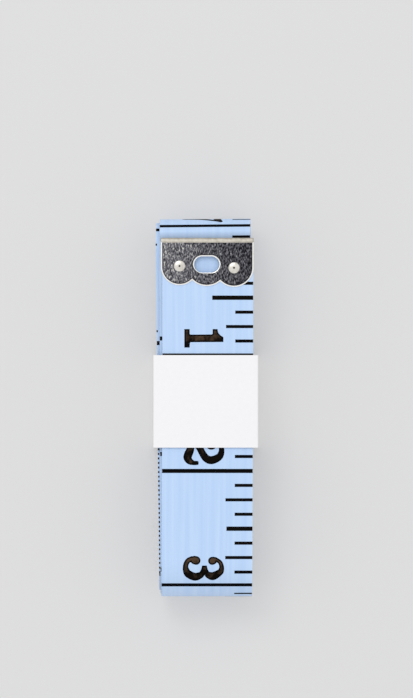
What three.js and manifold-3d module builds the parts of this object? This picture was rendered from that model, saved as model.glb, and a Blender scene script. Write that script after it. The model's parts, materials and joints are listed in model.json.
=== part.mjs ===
// A tailor's cloth tape measure, wound flat into a hank that a paper band holds together.
// Millimetres, +Z up. The hank lies on its back, so the face that shows its zero end looks up.
// X runs across the tape and +Y runs along the hank, towards the end that the zero tip lies near.
// The origin is on the surface that the hank lies on, under the middle of its length.

import * as THREE from "three";
import { mergeVertices } from "three/addons/utils/BufferGeometryUtils.js";
import Module from "manifold-3d";

// The tape: glass cloth coated with vinyl on both faces, 60 inches long
const tapeLength = 1524;
const tapeWidth = 20;
const tapeThickness = 0.35;

// The hank that it is wound into
const hankLength = 83.1;
const layerGap = 0.42; // clear space between one layer and the next
const zeroInset = 4.65; // from the hank's upper end down to the tape's cut end
const outerDrift = 0.45; // how far the outermost layer lies to the right of the band's middle
const innerDrift = -0.55; // the same for the innermost layers
const driftHalfTurns = 2.5; // half turns over which most of that drift happens
const strayDrift = -0.3; // how much further to the left one layer strays
const strayAt = 4.25; // half turns in from the cut end to that layer
const strayHalfTurns = 1; // half turns over which the layers beside it follow
const skew = 0.4; // how far the upper bends lie to the left and the lower ones to the right
const skewHalfTurns = 2.6; // half turns in from the cut end, where the skew starts
const skewOnset = 4; // how suddenly it starts there
const stepsPerBend = 16;

// The metal tips: one stamped strip each, folded over the tape's end and riveted through it
const plateThickness = 0.25;
const plateReach = 10.17; // from the tape's cut end down to the lowest point of the middle scallop
const plateOverhang = 0.22; // beyond each edge of the tape
const plateOffset = -0.13; // from the tape's middle to the plate's
const patternOffset = -0.24; // from the tape's middle to that of the scallops, slot and rivets
const patternSlope = 0.033; // how much lower they lie further right, as the strip was folded askew
const crimpClearance = 0.02; // between the tape and the plates and fold round it
const foldNose = 1.05; // the length over which the folded edge is rounded off
const scallopSpacingShare = 0.2935; // of the tip's width, from its middle to an outer scallop's
const middleScallopShare = 0.227; // of the tip's width, the middle scallop's radius
const slotWidth = 3.5;
const slotStraight = 2; // between the slot's round ends
const slotDropShare = 0.531; // of the plate's reach, from the tape's cut end to the slot's middle
const foldSteps = 12;

// The rivets, two to a tip
const rivetDropShare = 0.583; // of the plate's reach
const rivetShankRadius = 0.6;
const rivetClearance = 0.1; // all round the shank
const rivetHeadLip = 0.55; // from the edge of its hole to the edge of the head
const rivetHeadHeight = 0.3;
const rivetPitRadius = 0.22; // the punch mark in the middle of the head
const rivetPitDepth = 0.12;
const rivetTailLip = 0.35;
const rivetTailHeight = 0.2;
const coreClearance = 0.18; // between the inner tip's rivets and the layers either side of it
const roundSteps = 20;
const domeSteps = 6;

// The paper band: one strip folded round the hank and glued to itself underneath
const bandLength = 20.34;
const bandOffset = 1.4; // from the middle of the hank's length to the middle of the band's
const paperThickness = 0.2;
const glueThickness = 0.05;
const bandClearance = 0.3; // above and below the hank
const bandSideClearance = 1.35; // beside the tape, which covers how far its layers lie to one side
const creaseRadius = 0.2; // inside the paper's folds
const lapUnderShare = -0.35; // of the band's width, from its middle to where the strip's outer end stops
const lapOverShare = 0.22; // the same for its inner end
const cornerSteps = 6;

// The free end, which lifts off the hank at a bend line just clear of the band
const bendLineInset = 0.6; // from the band's edge to the bend line
const bendGap = 0.3; // between the free end's solid and the wound tape's
const climbInset = 1.5; // from the bend line to where the tape starts to climb over the tip's back
const climbSteps = 6;
const tipSeat = 0.3; // between the rivets' tails and the layer that they lie on

const weldDistance = 0.0005; // points of an outline that lie closer than this are one point
const cutOverrun = 1; // how far a cutting solid runs past what it cuts

const wasm = await Module();
wasm.setup();

// A closed geometry as a solid that can be cut
function solidOf(geometry) {
  const bare = geometry.clone();
  bare.deleteAttribute("normal");
  bare.deleteAttribute("uv");
  const merged = mergeVertices(bare);
  return new wasm.Manifold(
    new wasm.Mesh({
      numProp: 3,
      vertProperties: merged.getAttribute("position").array,
      triVerts: new Uint32Array(merged.index.array),
    }),
  );
}

// A solid back as a geometry
function geometryOf(solid) {
  const mesh = solid.getMesh();
  const geometry = new THREE.BufferGeometry();
  geometry.setAttribute("position", new THREE.BufferAttribute(mesh.vertProperties, 3));
  geometry.setIndex(new THREE.BufferAttribute(mesh.triVerts, 1));
  geometry.computeVertexNormals();
  return geometry;
}

// A path's points, without the doubled ones where its arcs and lines meet
function outlinePoints(path, arcSteps) {
  const points = path.getPoints(arcSteps / 2); // three.js draws an arc with twice as many
  return points.filter((point, i) => point.distanceTo(points[(i + 1) % points.length]) > weldDistance);
}

// An outline with its holes, extruded from zero along +Z
function extrude(outline, holes, arcSteps, depth) {
  const shape = new THREE.Shape(outlinePoints(outline, arcSteps));
  shape.holes = holes.map((hole) => new THREE.Path(outlinePoints(hole, arcSteps)));
  return new THREE.ExtrudeGeometry(shape, { depth, bevelEnabled: false });
}

// How the hank is laid out. Run k is the tape's kth straight stretch: even ones lie on the front, odd
// ones on the back, and the last one lies along the middle of the core. Bend k joins run k to run k + 1.
const layerPitch = tapeThickness + layerGap;
const cutEndY = hankLength / 2 - zeroInset;
const foldInner = tapeThickness / 2 + crimpClearance;
const foldOuter = foldInner + plateThickness;
const rivetStack = foldOuter + Math.max(rivetHeadHeight, rivetTailHeight);
const tightCore = rivetStack + coreClearance + tapeThickness / 2;

function layOut(halfTurns, core) {
  const heights = [];
  for (let k = 0; k < halfTurns; k += 1) {
    const side = k % 2 === 0 ? 1 : -1;
    heights.push(side * (core + Math.floor((halfTurns - 1 - k) / 2) * layerPitch));
  }
  heights.push(0);
  const bends = heights.slice(1).map((height, k) => ({
    radius: Math.abs(heights[k] - height) / 2,
    height: (heights[k] + height) / 2,
  }));
  const lowEnd = -hankLength / 2 + bends[0].radius + tapeThickness / 2;
  const highEnd = hankLength / 2 - bends[1].radius - tapeThickness / 2;
  const run = highEnd - lowEnd;
  const bent = bends.reduce((sum, bend) => sum + Math.PI * bend.radius, 0);
  const lastRun = tapeLength - (cutEndY - lowEnd) - bent - (halfTurns - 1) * run;
  const farFacing = halfTurns % 2 === 0 ? -1 : 1;
  const farEndY = (farFacing < 0 ? highEnd : lowEnd) + farFacing * lastRun;
  return { heights, bends, lowEnd, highEnd, run, lastRun, farFacing, farEndY };
}

// As many half turns as the tape's length fills. Where what is left is too short to hold the inner tip,
// one half turn fewer is wound, round a core that is wider by as much as takes up the length.
function layOutTape() {
  const spareRun = ({ lastRun, run }) => lastRun - run;
  let halfTurns = 2;
  while (spareRun(layOut(halfTurns, tightCore)) > 0) halfTurns += 1;
  const tight = layOut(halfTurns, tightCore);
  if (tight.lastRun > plateReach + tightCore) return tight;
  const spare = spareRun(layOut(halfTurns - 1, tightCore));
  const spareWider = spareRun(layOut(halfTurns - 1, tightCore + layerPitch));
  return layOut(halfTurns - 1, tightCore + (layerPitch * spare) / (spare - spareWider));
}

const hank = layOutTape();
const stackTop = hank.heights[0] + tapeThickness / 2;
const stackBottom = Math.min(...hank.heights) - tapeThickness / 2;
const lapStep = paperThickness + glueThickness;
const coreZ = lapStep + paperThickness + bandClearance - stackBottom;
const bendLineY = bandOffset + bandLength / 2 + bendLineInset;

// How far the tape lies to one side after so many half turns: the outer layers creep to the right, one
// strays to the left, and all but the outermost are wound askew, between an upper and a lower bend
function driftAfter(halfTurns, end) {
  const creep = innerDrift + (outerDrift - innerDrift) * Math.exp(-halfTurns / driftHalfTurns);
  const stray = strayDrift * Math.exp(-(((halfTurns - strayAt) / strayHalfTurns) ** 2));
  return creep + stray - end * skew * (1 - Math.exp(-((halfTurns / skewHalfTurns) ** skewOnset)));
}

// The wound tape's stations, inwards from the bend line to its far end. Each is the middle of the tape
// there, with the direction across the hank that its inch face looks in.
function woundStations() {
  const start = { x: outerDrift, y: bendLineY - bendGap / 2, z: hank.heights[0], normalY: 0, normalZ: 1 };
  const stations = [start];
  hank.bends.forEach(({ radius, height }, k) => {
    const outward = k % 2 === 0 ? -1 : 1;
    const endY = k % 2 === 0 ? hank.lowEnd : hank.highEnd;
    for (let step = 0; step <= stepsPerBend; step += 1) {
      const turned = step / stepsPerBend;
      const normalY = outward * Math.sin(Math.PI * turned);
      const normalZ = -outward * Math.cos(Math.PI * turned);
      const x = driftAfter(k + (1 + turned) / 2, outward);
      stations.push({ x, y: endY + radius * normalY, z: height + radius * normalZ, normalY, normalZ });
    }
  });
  // The last run lies askew like the others, but stops short of the next bend
  const last = stations[stations.length - 1];
  const nextX = driftAfter(hank.bends.length + 1 / 2, hank.farFacing);
  const x = THREE.MathUtils.lerp(last.x, nextX, hank.lastRun / hank.run);
  stations.push({ ...last, x, y: hank.farEndY });
  return stations;
}

// The free end climbs a little, so that the tip's folded back and its rivets clear the layer beneath
const climb = Math.max(0, rivetTailHeight + plateThickness + crimpClearance + tipSeat - layerGap);

// The free end's stations, from the tape's cut end down to the bend line
function freeStations() {
  const station = (y, z) => ({ x: outerDrift, y, z: hank.heights[0] + z, normalY: 0, normalZ: 1 });
  const climbFoot = bendLineY + climbInset;
  const climbTop = cutEndY - lowestReach - crimpClearance;
  const stations = [station(cutEndY, climb)];
  for (let step = climbSteps; step >= 0; step -= 1) {
    const share = step / climbSteps;
    const y = THREE.MathUtils.lerp(climbFoot, climbTop, share);
    stations.push(station(y, climb * THREE.MathUtils.smoothstep(share, 0, 1)));
  }
  stations.push(station(bendLineY + bendGap / 2, 0));
  return stations;
}

// A flat strip through a row of stations, as one closed body
function stripGeometry(stations) {
  const corners = [[-1, 1], [1, 1], [1, -1], [-1, -1]];
  const positions = stations.flatMap(({ x, y, z, normalY, normalZ }) =>
    corners.flatMap(([side, face]) => {
      const lift = (face * tapeThickness) / 2;
      return [x + (side * tapeWidth) / 2, y + lift * normalY, z + lift * normalZ];
    }),
  );
  const index = [0, 1, 2, 0, 2, 3];
  for (let i = 0; i < stations.length - 1; i += 1) {
    corners.forEach((_, corner) => {
      const a = i * corners.length + corner;
      const b = i * corners.length + ((corner + 1) % corners.length);
      index.push(a, a + corners.length, b + corners.length, a, b + corners.length, b);
    });
  }
  const end = (stations.length - 1) * corners.length;
  index.push(end, end + 2, end + 1, end, end + 3, end + 2);
  const geometry = new THREE.BufferGeometry();
  geometry.setAttribute("position", new THREE.Float32BufferAttribute(positions, 3));
  geometry.setIndex(index);
  geometry.computeVertexNormals();
  return geometry;
}

// The least clear space between the layers, measured from points all along the tape to every stretch of
// it that lies at least a half turn further on
function leastLayerGap(stations) {
  const points = stations.map(({ y, z }) => new THREE.Vector2(y, z));
  const along = [0];
  points.slice(1).forEach((point, i) => along.push(along[i] + point.distanceTo(points[i])));
  let least = Infinity;
  points.slice(1).forEach((next, i) => {
    for (const point of [points[i], points[i].clone().lerp(next, 0.5), next]) {
      for (let j = i + 1; j < points.length - 1; j += 1) {
        if (along[j] - along[i + 1] < hank.run) continue;
        const stretch = points[j + 1].clone().sub(points[j]);
        const share = point.clone().sub(points[j]).dot(stretch) / stretch.lengthSq();
        const nearest = points[j].clone().addScaledVector(stretch, THREE.MathUtils.clamp(share, 0, 1));
        least = Math.min(least, point.distanceTo(nearest));
      }
    }
  });
  return least - tapeThickness;
}

// A tip in its own frame: the tape's cut end at zero, the fold towards +Y, the inch face towards +Z
const tipWidth = tapeWidth + 2 * plateOverhang;
const scallopSpacing = scallopSpacingShare * tipWidth;
const lowestReach = plateReach + patternSlope * scallopSpacing;

// A place in the stamped pattern, so far across from its middle and down from the tape's cut end
function stamped(across, drop) {
  return new THREE.Vector2(patternOffset + across, -drop - patternSlope * across);
}

// The slot, in the middle of the pattern
function slotPath() {
  const reach = slotStraight / 2;
  const { x, y } = stamped(0, slotDropShare * plateReach);
  const path = new THREE.Path();
  path.absarc(x + reach, y, slotWidth / 2, -Math.PI / 2, Math.PI / 2, false);
  path.absarc(x - reach, y, slotWidth / 2, Math.PI / 2, (3 * Math.PI) / 2, false);
  return path;
}

// A rivet's axis, in the middle of an outer scallop
function rivetPlace(side) {
  return stamped(side === "left" ? -scallopSpacing : scallopSpacing, rivetDropShare * plateReach);
}

const rivetHoleRadius = rivetShankRadius + rivetClearance;
function rivetHolePath(side) {
  const { x, y } = rivetPlace(side);
  return new THREE.Path().absarc(x, y, rivetHoleRadius, 0, 2 * Math.PI, false);
}

const tipHoles = [slotPath(), rivetHolePath("left"), rivetHolePath("right")];

// A scallop, given by its lowest point
function scallop(across, radius) {
  const lowest = stamped(across, plateReach);
  return { centre: new THREE.Vector2(lowest.x, lowest.y + radius), radius };
}

// Where a scallop meets the next one to its right
function cuspBetween(left, right) {
  const direction = right.centre.clone().sub(left.centre);
  const apart = direction.length();
  direction.normalize();
  const along = (apart ** 2 + left.radius ** 2 - right.radius ** 2) / (2 * apart);
  const down = new THREE.Vector2(direction.y, -direction.x);
  down.multiplyScalar(Math.sqrt(left.radius ** 2 - along ** 2));
  return left.centre.clone().addScaledVector(direction, along).add(down);
}

// The plate's outline: straight sides that run tangent into the outer scallops, and a middle scallop
// that meets them in two cusps
function platePath() {
  const top = crimpClearance + foldOuter + cutOverrun;
  const leftSide = plateOffset - tipWidth / 2;
  const rightSide = plateOffset + tipWidth / 2;
  const scallops = [
    scallop(-scallopSpacing, stamped(-scallopSpacing, plateReach).x - leftSide),
    scallop(0, middleScallopShare * tipWidth),
    scallop(scallopSpacing, rightSide - stamped(scallopSpacing, plateReach).x),
  ];
  const cusps = [cuspBetween(scallops[0], scallops[1]), cuspBetween(scallops[1], scallops[2])];
  const path = new THREE.Path();
  scallops.forEach(({ centre, radius }, i) => {
    const start = i > 0 ? cusps[i - 1].clone().sub(centre).angle() : Math.PI;
    const end = i < cusps.length ? cusps[i].clone().sub(centre).angle() : 2 * Math.PI;
    path.absarc(centre.x, centre.y, radius, start, end, false);
  });
  path.lineTo(rightSide, top);
  path.lineTo(leftSide, top);
  return path;
}

// An outline as a punch, so far to either side of the tape's middle
function punchGeometry(outline, holes, reach) {
  const geometry = extrude(outline, holes, roundSteps, 2 * reach);
  geometry.translate(0, 0, -reach);
  return geometry;
}

// The strip folded in half over the tape's end, drawn from its side as two plates and the fold, whose
// outside is pressed to a longer nose than its inside
function foldedStripGeometry() {
  const reach = plateReach + cutOverrun;
  const section = new THREE.Path();
  const noseY = crimpClearance + foldOuter - foldNose;
  section.absellipse(noseY, 0, foldNose, foldOuter, -Math.PI / 2, Math.PI / 2, false);
  section.lineTo(-reach, foldOuter);
  section.lineTo(-reach, foldInner);
  section.absarc(crimpClearance, 0, foldInner, Math.PI / 2, -Math.PI / 2, true);
  section.lineTo(-reach, -foldInner);
  section.lineTo(-reach, -foldOuter);
  const width = tipWidth + 2 * (Math.abs(plateOffset) + cutOverrun);
  const geometry = extrude(section, [], foldSteps, width);
  geometry.translate(0, 0, -width / 2);
  // The section was drawn in the YZ plane: its first axis becomes +Y, its second +Z
  const along = new THREE.Vector3(0, 1, 0);
  const up = new THREE.Vector3(0, 0, 1);
  geometry.applyMatrix4(new THREE.Matrix4().makeBasis(along, up, along.clone().cross(up)));
  return geometry;
}

function tipGeometry() {
  const punch = punchGeometry(platePath(), tipHoles, foldOuter + cutOverrun);
  return geometryOf(solidOf(foldedStripGeometry()).intersect(solidOf(punch)));
}

// The tape is punched through the tip that it carries, and no deeper than the tip is thick, so that the
// layers beside it stay whole
function punchedTapeGeometry(stations, tip) {
  tip.updateMatrix();
  return tipHoles.reduce((geometry, hole) => {
    const punch = punchGeometry(hole, [], foldOuter).applyMatrix4(tip.matrix);
    return geometryOf(solidOf(geometry).subtract(solidOf(punch)));
  }, stripGeometry(stations));
}

// A rivet about its own axis: a domed head with its punch mark on the front, a shank, and a tail that
// is flattened on the back
function rivetGeometry() {
  const headRadius = rivetHoleRadius + rivetHeadLip;
  const tailRadius = rivetHoleRadius + rivetTailLip;
  const tailEdge = rivetTailHeight / 2;
  const profile = new THREE.Path();
  profile.moveTo(0, -foldOuter - rivetTailHeight);
  profile.lineTo(tailRadius - tailEdge, -foldOuter - rivetTailHeight);
  profile.lineTo(tailRadius, -foldOuter - tailEdge);
  profile.lineTo(tailRadius, -foldOuter);
  profile.lineTo(rivetShankRadius, -foldOuter);
  profile.lineTo(rivetShankRadius, foldOuter);
  profile.lineTo(headRadius, foldOuter);
  profile.absellipse(rivetPitRadius, foldOuter, headRadius - rivetPitRadius, rivetHeadHeight, 0, Math.PI / 2);
  profile.lineTo(0, foldOuter + rivetHeadHeight - rivetPitDepth);
  const geometry = new THREE.LatheGeometry(profile.getPoints(domeSteps / 2), roundSteps);
  geometry.rotateX(Math.PI / 2);
  return geometry;
}

// The band's section: the strip's outer end runs under its inner end, and the lap between is glued
function bandGeometry() {
  const half = tapeWidth / 2 + bandSideClearance + paperThickness;
  const top = coreZ + stackTop + bandClearance + paperThickness;
  const foldRadius = creaseRadius + paperThickness;
  // One face of the paper, from its lap round to its lap again, so far in from the outside
  const face = (inset, lapX) => {
    const radius = foldRadius - inset;
    const path = new THREE.Path();
    path.absarc(half - foldRadius, foldRadius, radius, -Math.PI / 2, 0, false);
    path.absarc(half - foldRadius, top - foldRadius, radius, 0, Math.PI / 2, false);
    path.absarc(foldRadius - half, top - foldRadius, radius, Math.PI / 2, Math.PI, false);
    path.absarc(foldRadius - half, lapStep + foldRadius, radius, Math.PI, (3 * Math.PI) / 2, false);
    path.lineTo(lapX, lapStep + inset);
    path.lineTo(lapX, inset);
    return path;
  };
  const outside = face(0, 2 * half * lapUnderShare);
  const inside = face(paperThickness, 2 * half * lapOverShare);
  const geometry = extrude(outside, [inside], cornerSteps, bandLength);
  geometry.rotateX(Math.PI / 2);
  geometry.translate(0, bandLength / 2, 0);
  return geometry;
}

// The finishes
const tapeBlue = new THREE.MeshStandardMaterial({ color: 0xb9d4f9, roughness: 0.45, metalness: 0 });
const tinPlate = new THREE.MeshStandardMaterial({ color: 0x7c7c84, roughness: 0.35, metalness: 1 });
const brightTin = new THREE.MeshStandardMaterial({ color: 0xd9d6cf, roughness: 0.25, metalness: 1 });
const whitePaper = new THREE.MeshStandardMaterial({ color: 0xf5f4f5, roughness: 0.8, metalness: 0 });

function namedMesh(name, geometry, material) {
  const mesh = new THREE.Mesh(geometry, material);
  mesh.name = name;
  return mesh;
}

// A folded tip with its two rivets
function tipGroup(name) {
  const group = new THREE.Group();
  group.add(namedMesh(name, tipGeometry(), tinPlate));
  for (const side of ["left", "right"]) {
    const rivet = namedMesh(`${name}_rivet_${side}`, rivetGeometry(), brightTin);
    rivet.position.set(rivetPlace(side).x, rivetPlace(side).y, 0);
    group.add(rivet);
  }
  return group;
}

// The wound tape, with the inner tip on its far end
const wound = woundStations();
console.log(`least gap between the layers of the wound tape: ${leastLayerGap(wound).toFixed(3)} mm`);
const endTip = tipGroup("end_tip");
endTip.position.set(wound[wound.length - 1].x, hank.farEndY, 0);
endTip.rotation.z = hank.farFacing > 0 ? 0 : Math.PI;
const winding = new THREE.Group();
winding.add(namedMesh("tape_winding", punchedTapeGeometry(wound, endTip), tapeBlue), endTip);

// The free end, with the zero tip
const zeroTip = tipGroup("zero_tip");
zeroTip.position.set(outerDrift, cutEndY, hank.heights[0] + climb);
const freeEnd = new THREE.Group();
freeEnd.add(namedMesh("tape_free_end", punchedTapeGeometry(freeStations(), zeroTip), tapeBlue), zeroTip);

// Both lie on the band, which stands on the surface
winding.position.z = coreZ;
freeEnd.position.z = coreZ;
const band = namedMesh("paper_band", bandGeometry(), whitePaper);
band.position.y = bandOffset;

const tapeMeasure = new THREE.Group();
tapeMeasure.name = "cloth_tape_measure";
tapeMeasure.add(winding, freeEnd, band);

export default tapeMeasure;
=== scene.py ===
import json
import logging
import math
from dataclasses import dataclass, field
from enum import Enum
from typing import Callable, Iterable, Sequence

import bmesh
import bpy
import numpy as np
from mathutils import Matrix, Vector
from mathutils.geometry import delaunay_2d_cdt


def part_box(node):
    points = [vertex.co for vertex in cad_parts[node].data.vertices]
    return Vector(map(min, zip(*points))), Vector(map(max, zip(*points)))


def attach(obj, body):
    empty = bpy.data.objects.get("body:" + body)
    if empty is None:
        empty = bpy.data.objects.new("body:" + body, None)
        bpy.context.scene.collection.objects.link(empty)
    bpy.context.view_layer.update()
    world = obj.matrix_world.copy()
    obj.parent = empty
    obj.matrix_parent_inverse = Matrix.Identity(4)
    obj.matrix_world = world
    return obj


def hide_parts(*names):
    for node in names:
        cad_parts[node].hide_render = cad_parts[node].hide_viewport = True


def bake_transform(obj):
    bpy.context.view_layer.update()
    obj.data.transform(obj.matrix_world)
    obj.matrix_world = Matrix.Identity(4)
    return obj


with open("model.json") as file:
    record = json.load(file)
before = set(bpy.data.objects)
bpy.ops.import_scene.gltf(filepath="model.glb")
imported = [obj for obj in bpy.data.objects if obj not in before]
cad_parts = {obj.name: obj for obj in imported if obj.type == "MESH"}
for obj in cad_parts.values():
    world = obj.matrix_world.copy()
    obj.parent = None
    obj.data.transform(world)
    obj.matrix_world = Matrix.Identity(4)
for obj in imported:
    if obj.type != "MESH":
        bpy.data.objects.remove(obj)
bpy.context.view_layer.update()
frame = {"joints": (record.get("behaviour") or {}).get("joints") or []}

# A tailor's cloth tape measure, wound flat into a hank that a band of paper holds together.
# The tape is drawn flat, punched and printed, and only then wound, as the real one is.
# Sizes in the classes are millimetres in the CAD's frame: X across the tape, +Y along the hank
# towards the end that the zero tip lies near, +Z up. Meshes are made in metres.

MM = 0.001
INCH = 25.4
CENTIMETRE = 10.0
FLAT_MAP = "flat_mm"

# How near two places are, in millimetres, to be taken as one
AT_EDGE = 1e-3
AT_STATION = 1e-4
WELD = 1e-6
SHORTEST_CHORD = 1e-9
JOIN_DECIMALS = 5  # the same in decimal places, where sheets join

log = logging.getLogger("tape_measure")

Loop = np.ndarray
Material = bpy.types.Material
Piece = bpy.types.Object
Tree = bpy.types.NodeTree
Source = bpy.types.NodeSocket | bpy.types.Node
Links = dict[str | int, Source]


class Body(Enum):
    """The CAD bodies that pieces ride on."""

    WINDING = "winding"
    FREE_END = "free_end"
    BAND = "band"


class Slot(Enum):
    """The record's material slots."""

    TAPE = "tape"
    TIP = "tip_metal"
    RIVET = "rivet_metal"
    PAPER = "band_paper"


class Face(Enum):
    """The tape's two printed faces, each with the side of the tape's middle that it lies on."""

    INCH = 1
    METRIC = -1


class Side(Enum):
    """The two rivets of a tip, each with its place across the tip."""

    LEFT = -1
    RIGHT = 1


class Patch(Enum):
    """Where a face of a thickened sheet lies, which also numbers the piece's materials."""

    SHEET = 0
    RIM = 1
    # A band of painted shade just inside a tip's rims, also used in the rivets' punch marks
    GRIME = 2
    FOLD = 3


# Colours and nodes


def linear(hex_code: str) -> tuple[float, float, float, float]:
    """Turns an sRGB hex colour to linear.

    Args:
        hex_code: six hex digits after a hash.

    Returns:
        Red, green, blue and an alpha of one.
    """
    channels = [int(hex_code[i : i + 2], 16) / 255 for i in (1, 3, 5)]
    red, green, blue = (c / 12.92 if c <= 0.04045 else ((c + 0.055) / 1.055) ** 2.4 for c in channels)
    return red, green, blue, 1.0


def add_node(
    tree: Tree, kind: str, settings: dict | None = None, links: Links | None = None
) -> bpy.types.Node:
    """Adds one node with its settings and links.

    Args:
        tree: the material's or world's node tree.
        kind: the node's type.
        settings: values by property name, or by the name or number of an input.
        links: what feeds an input, by its name or number: a socket, or a node's first output.

    Returns:
        The node.
    """
    node = tree.nodes.new(kind)
    for name, value in (settings or {}).items():
        if isinstance(name, str) and hasattr(node, name):
            setattr(node, name, value)
        else:
            node.inputs[name].default_value = value
    for name, source in (links or {}).items():
        output = source.outputs[0] if isinstance(source, bpy.types.Node) else source
        tree.links.new(output, node.inputs[name])
    return node


def new_material(name: str) -> tuple[Material, Tree]:
    """Makes a material with nothing in its node tree.

    Args:
        name: the finish's name.

    Returns:
        The material and its tree.
    """
    material = bpy.data.materials.new(name)
    material.use_nodes = True
    material.node_tree.nodes.clear()
    return material, material.node_tree


def finish_surface(
    tree: Tree, settings: dict, colour: Source, height: Source | None = None, relief: float = 0.0,
    strength: float = 1.0,
) -> None:
    """Ends a material's tree with its shader and output.

    Args:
        tree: the material's tree.
        settings: what the shader has the same all over.
        colour: the colour at each place.
        height: how high each place stands, from 0 to 1, where the surface has a relief.
        relief: the height in millimetres that 1 stands for.
        strength: how strongly the relief shows.
    """
    links = {"Base Color": colour}
    if height is not None:
        bumps = {"Strength": strength, "Distance": relief * MM}
        links["Normal"] = add_node(tree, "ShaderNodeBump", bumps, {"Height": height})
    shader = add_node(tree, "ShaderNodeBsdfPrincipled", settings, links)
    add_node(tree, "ShaderNodeOutputMaterial", None, {"Surface": shader})


def mottling(
    tree: Tree, place: Source, size: Sequence[float], detail: float, raggedness: float
) -> Source:
    """Spreads a soft, uneven pattern over a piece.

    Args:
        tree: the material's tree.
        place: the places on the piece.
        size: how large the pattern's patches are along each axis, in the unit of the places.
        detail: how many times finer patches lie within them.
        raggedness: how strongly the finer ones show.

    Returns:
        The pattern's value at each place.
    """
    scale = tuple(1 / length for length in size)
    spread = add_node(tree, "ShaderNodeMapping", {"Scale": scale}, {"Vector": place})
    settings = {"Scale": 1.0, "Detail": detail, "Roughness": raggedness}
    return add_node(tree, "ShaderNodeTexNoise", settings, {"Vector": spread}).outputs["Fac"]


def shade(
    tree: Tree, value: Source, span: tuple[float, float], first: str | Source, second: str,
    shares: tuple[float, float] = (0.0, 1.0),
) -> Source:
    """Goes from one colour towards another as a value rises.

    Args:
        tree: the material's tree.
        value: what the colour follows.
        span: the values between which it changes.
        first: the first colour, as a hex code or as what varies over the surface.
        second: the other colour, as a hex code.
        shares: how much of the other colour shows at the span's start and at its end.

    Returns:
        The colour at each place.
    """
    limits = {"From Min": span[0], "From Max": span[1], "To Min": shares[0], "To Max": shares[1]}
    share = add_node(tree, "ShaderNodeMapRange", limits, {"Value": value})
    settings, links = {"data_type": "RGBA", 7: linear(second)}, {0: share}
    if isinstance(first, str):
        settings[6] = linear(first)
    else:
        links[6] = first
    return add_node(tree, "ShaderNodeMix", settings, links).outputs[2]


# Finishes


@dataclass(frozen=True)
class CoatedCloth:
    """Woven glass cloth, calendered between two films of pale blue vinyl."""

    colour: str = "#B7D2F4"
    thin_colour: str = "#C7DDF9"
    deep_colour: str = "#A7C6ED"
    # The colour of the painted shadow next to the zero tip's fold
    rubbed_colour: str = "#2A2E36"
    roughness: float = 0.42
    gloss_ior: float = 1.53
    streak_size: tuple[float, float, float] = (1.1, 45.0, 1.0)  # across the tape, along it, and through
    streak_detail: float = 4.0
    streak_raggedness: float = 0.55
    streak_span: tuple[float, float] = (0.3, 0.7)
    streak_share: float = 0.45
    thread_pitch: float = 0.55
    thread_waver: float = 0.6
    thread_waver_size: float = 0.4
    thread_relief: float = 0.012
    thread_strength: float = 0.5
    wave_share: float = 0.314  # a wave texture's period at scale one
    # Where the painted shadow lies along the tape, how far it reaches to either side, and how dark it is at
    # its middle
    rubbed_at: float = 181.2
    rubbed_reach: float = 1.7
    rubbed_share: float = 0.42

    def material(self) -> Material:
        """Makes the finish: satin, with faint streaks along the tape, the weave's grid in relief, and a
        painted shadow beside the zero tip's fold.

        Returns:
            The material.
        """
        material, tree = new_material("calendered_vinyl_on_glass_cloth")
        flat = add_node(tree, "ShaderNodeUVMap", {"uv_map": FLAT_MAP})
        # The film is a little thinner or thicker over some threads, which gives pale and deep streaks
        streaks = mottling(tree, flat, self.streak_size, self.streak_detail, self.streak_raggedness)
        streaked = shade(tree, streaks, self.streak_span, self.deep_colour, self.thin_colour)
        film = add_node(
            tree, "ShaderNodeMix", {"data_type": "RGBA", 0: self.streak_share, 6: linear(self.colour)},
            {7: streaked},
        ).outputs[2]
        # Painted shadow: the tape is darkened in a band across it, where it lies next to the zero tip's
        # fold
        place = add_node(tree, "ShaderNodeSeparateXYZ", None, {0: flat})
        along = add_node(
            tree, "ShaderNodeMath", {"operation": "SUBTRACT", 1: self.rubbed_at}, {0: place.outputs["Y"]}
        )
        away = add_node(tree, "ShaderNodeMath", {"operation": "ABSOLUTE"}, {0: along})
        shares = (self.rubbed_share, 0.0)
        film_with_painted_fold_shadow = shade(tree, away, (0.0, self.rubbed_reach), film, self.rubbed_colour, shares)
        # Warp and weft threads stand out by a hundredth of a millimetre
        wave = {
            "Scale": self.wave_share / self.thread_pitch, "Distortion": self.thread_waver,
            "Detail": 1.0, "Detail Scale": self.thread_waver_size,
        }
        warp, weft = (
            add_node(tree, "ShaderNodeTexWave", {"bands_direction": axis, **wave}, {"Vector": flat})
            for axis in ("X", "Y")
        )
        weave = add_node(
            tree, "ShaderNodeMath", {"operation": "MAXIMUM"},
            {0: warp.outputs["Fac"], 1: weft.outputs["Fac"]},
        )
        settings = {"Roughness": self.roughness, "IOR": self.gloss_ior}
        finish_surface(tree, settings, film_with_painted_fold_shadow, weave, self.thread_relief, self.thread_strength)
        return material


@dataclass(frozen=True)
class SlitEdge:
    """The tape's slit edge, where the ends of the glass threads show between the two films."""

    film_colour: str = "#A9C3E6"
    thread_colour: str = "#DDE6F0"
    roughness: float = 0.7
    thread_pitch: float = 0.55
    fraying: float = 3.0
    raggedness: float = 0.5

    def material(self) -> Material:
        """Makes the finish: dull, with a pale dot for each thread that was cut.

        Returns:
            The material.
        """
        material, tree = new_material("slit_vinyl_and_glass_thread")
        flat = add_node(tree, "ShaderNodeUVMap", {"uv_map": FLAT_MAP})
        frayed = mottling(tree, flat, (self.thread_pitch,) * 3, self.fraying, self.raggedness)
        colour = shade(tree, frayed, (0.0, 1.0), self.film_colour, self.thread_colour)
        finish_surface(tree, {"Roughness": self.roughness}, colour)
        return material


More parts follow.
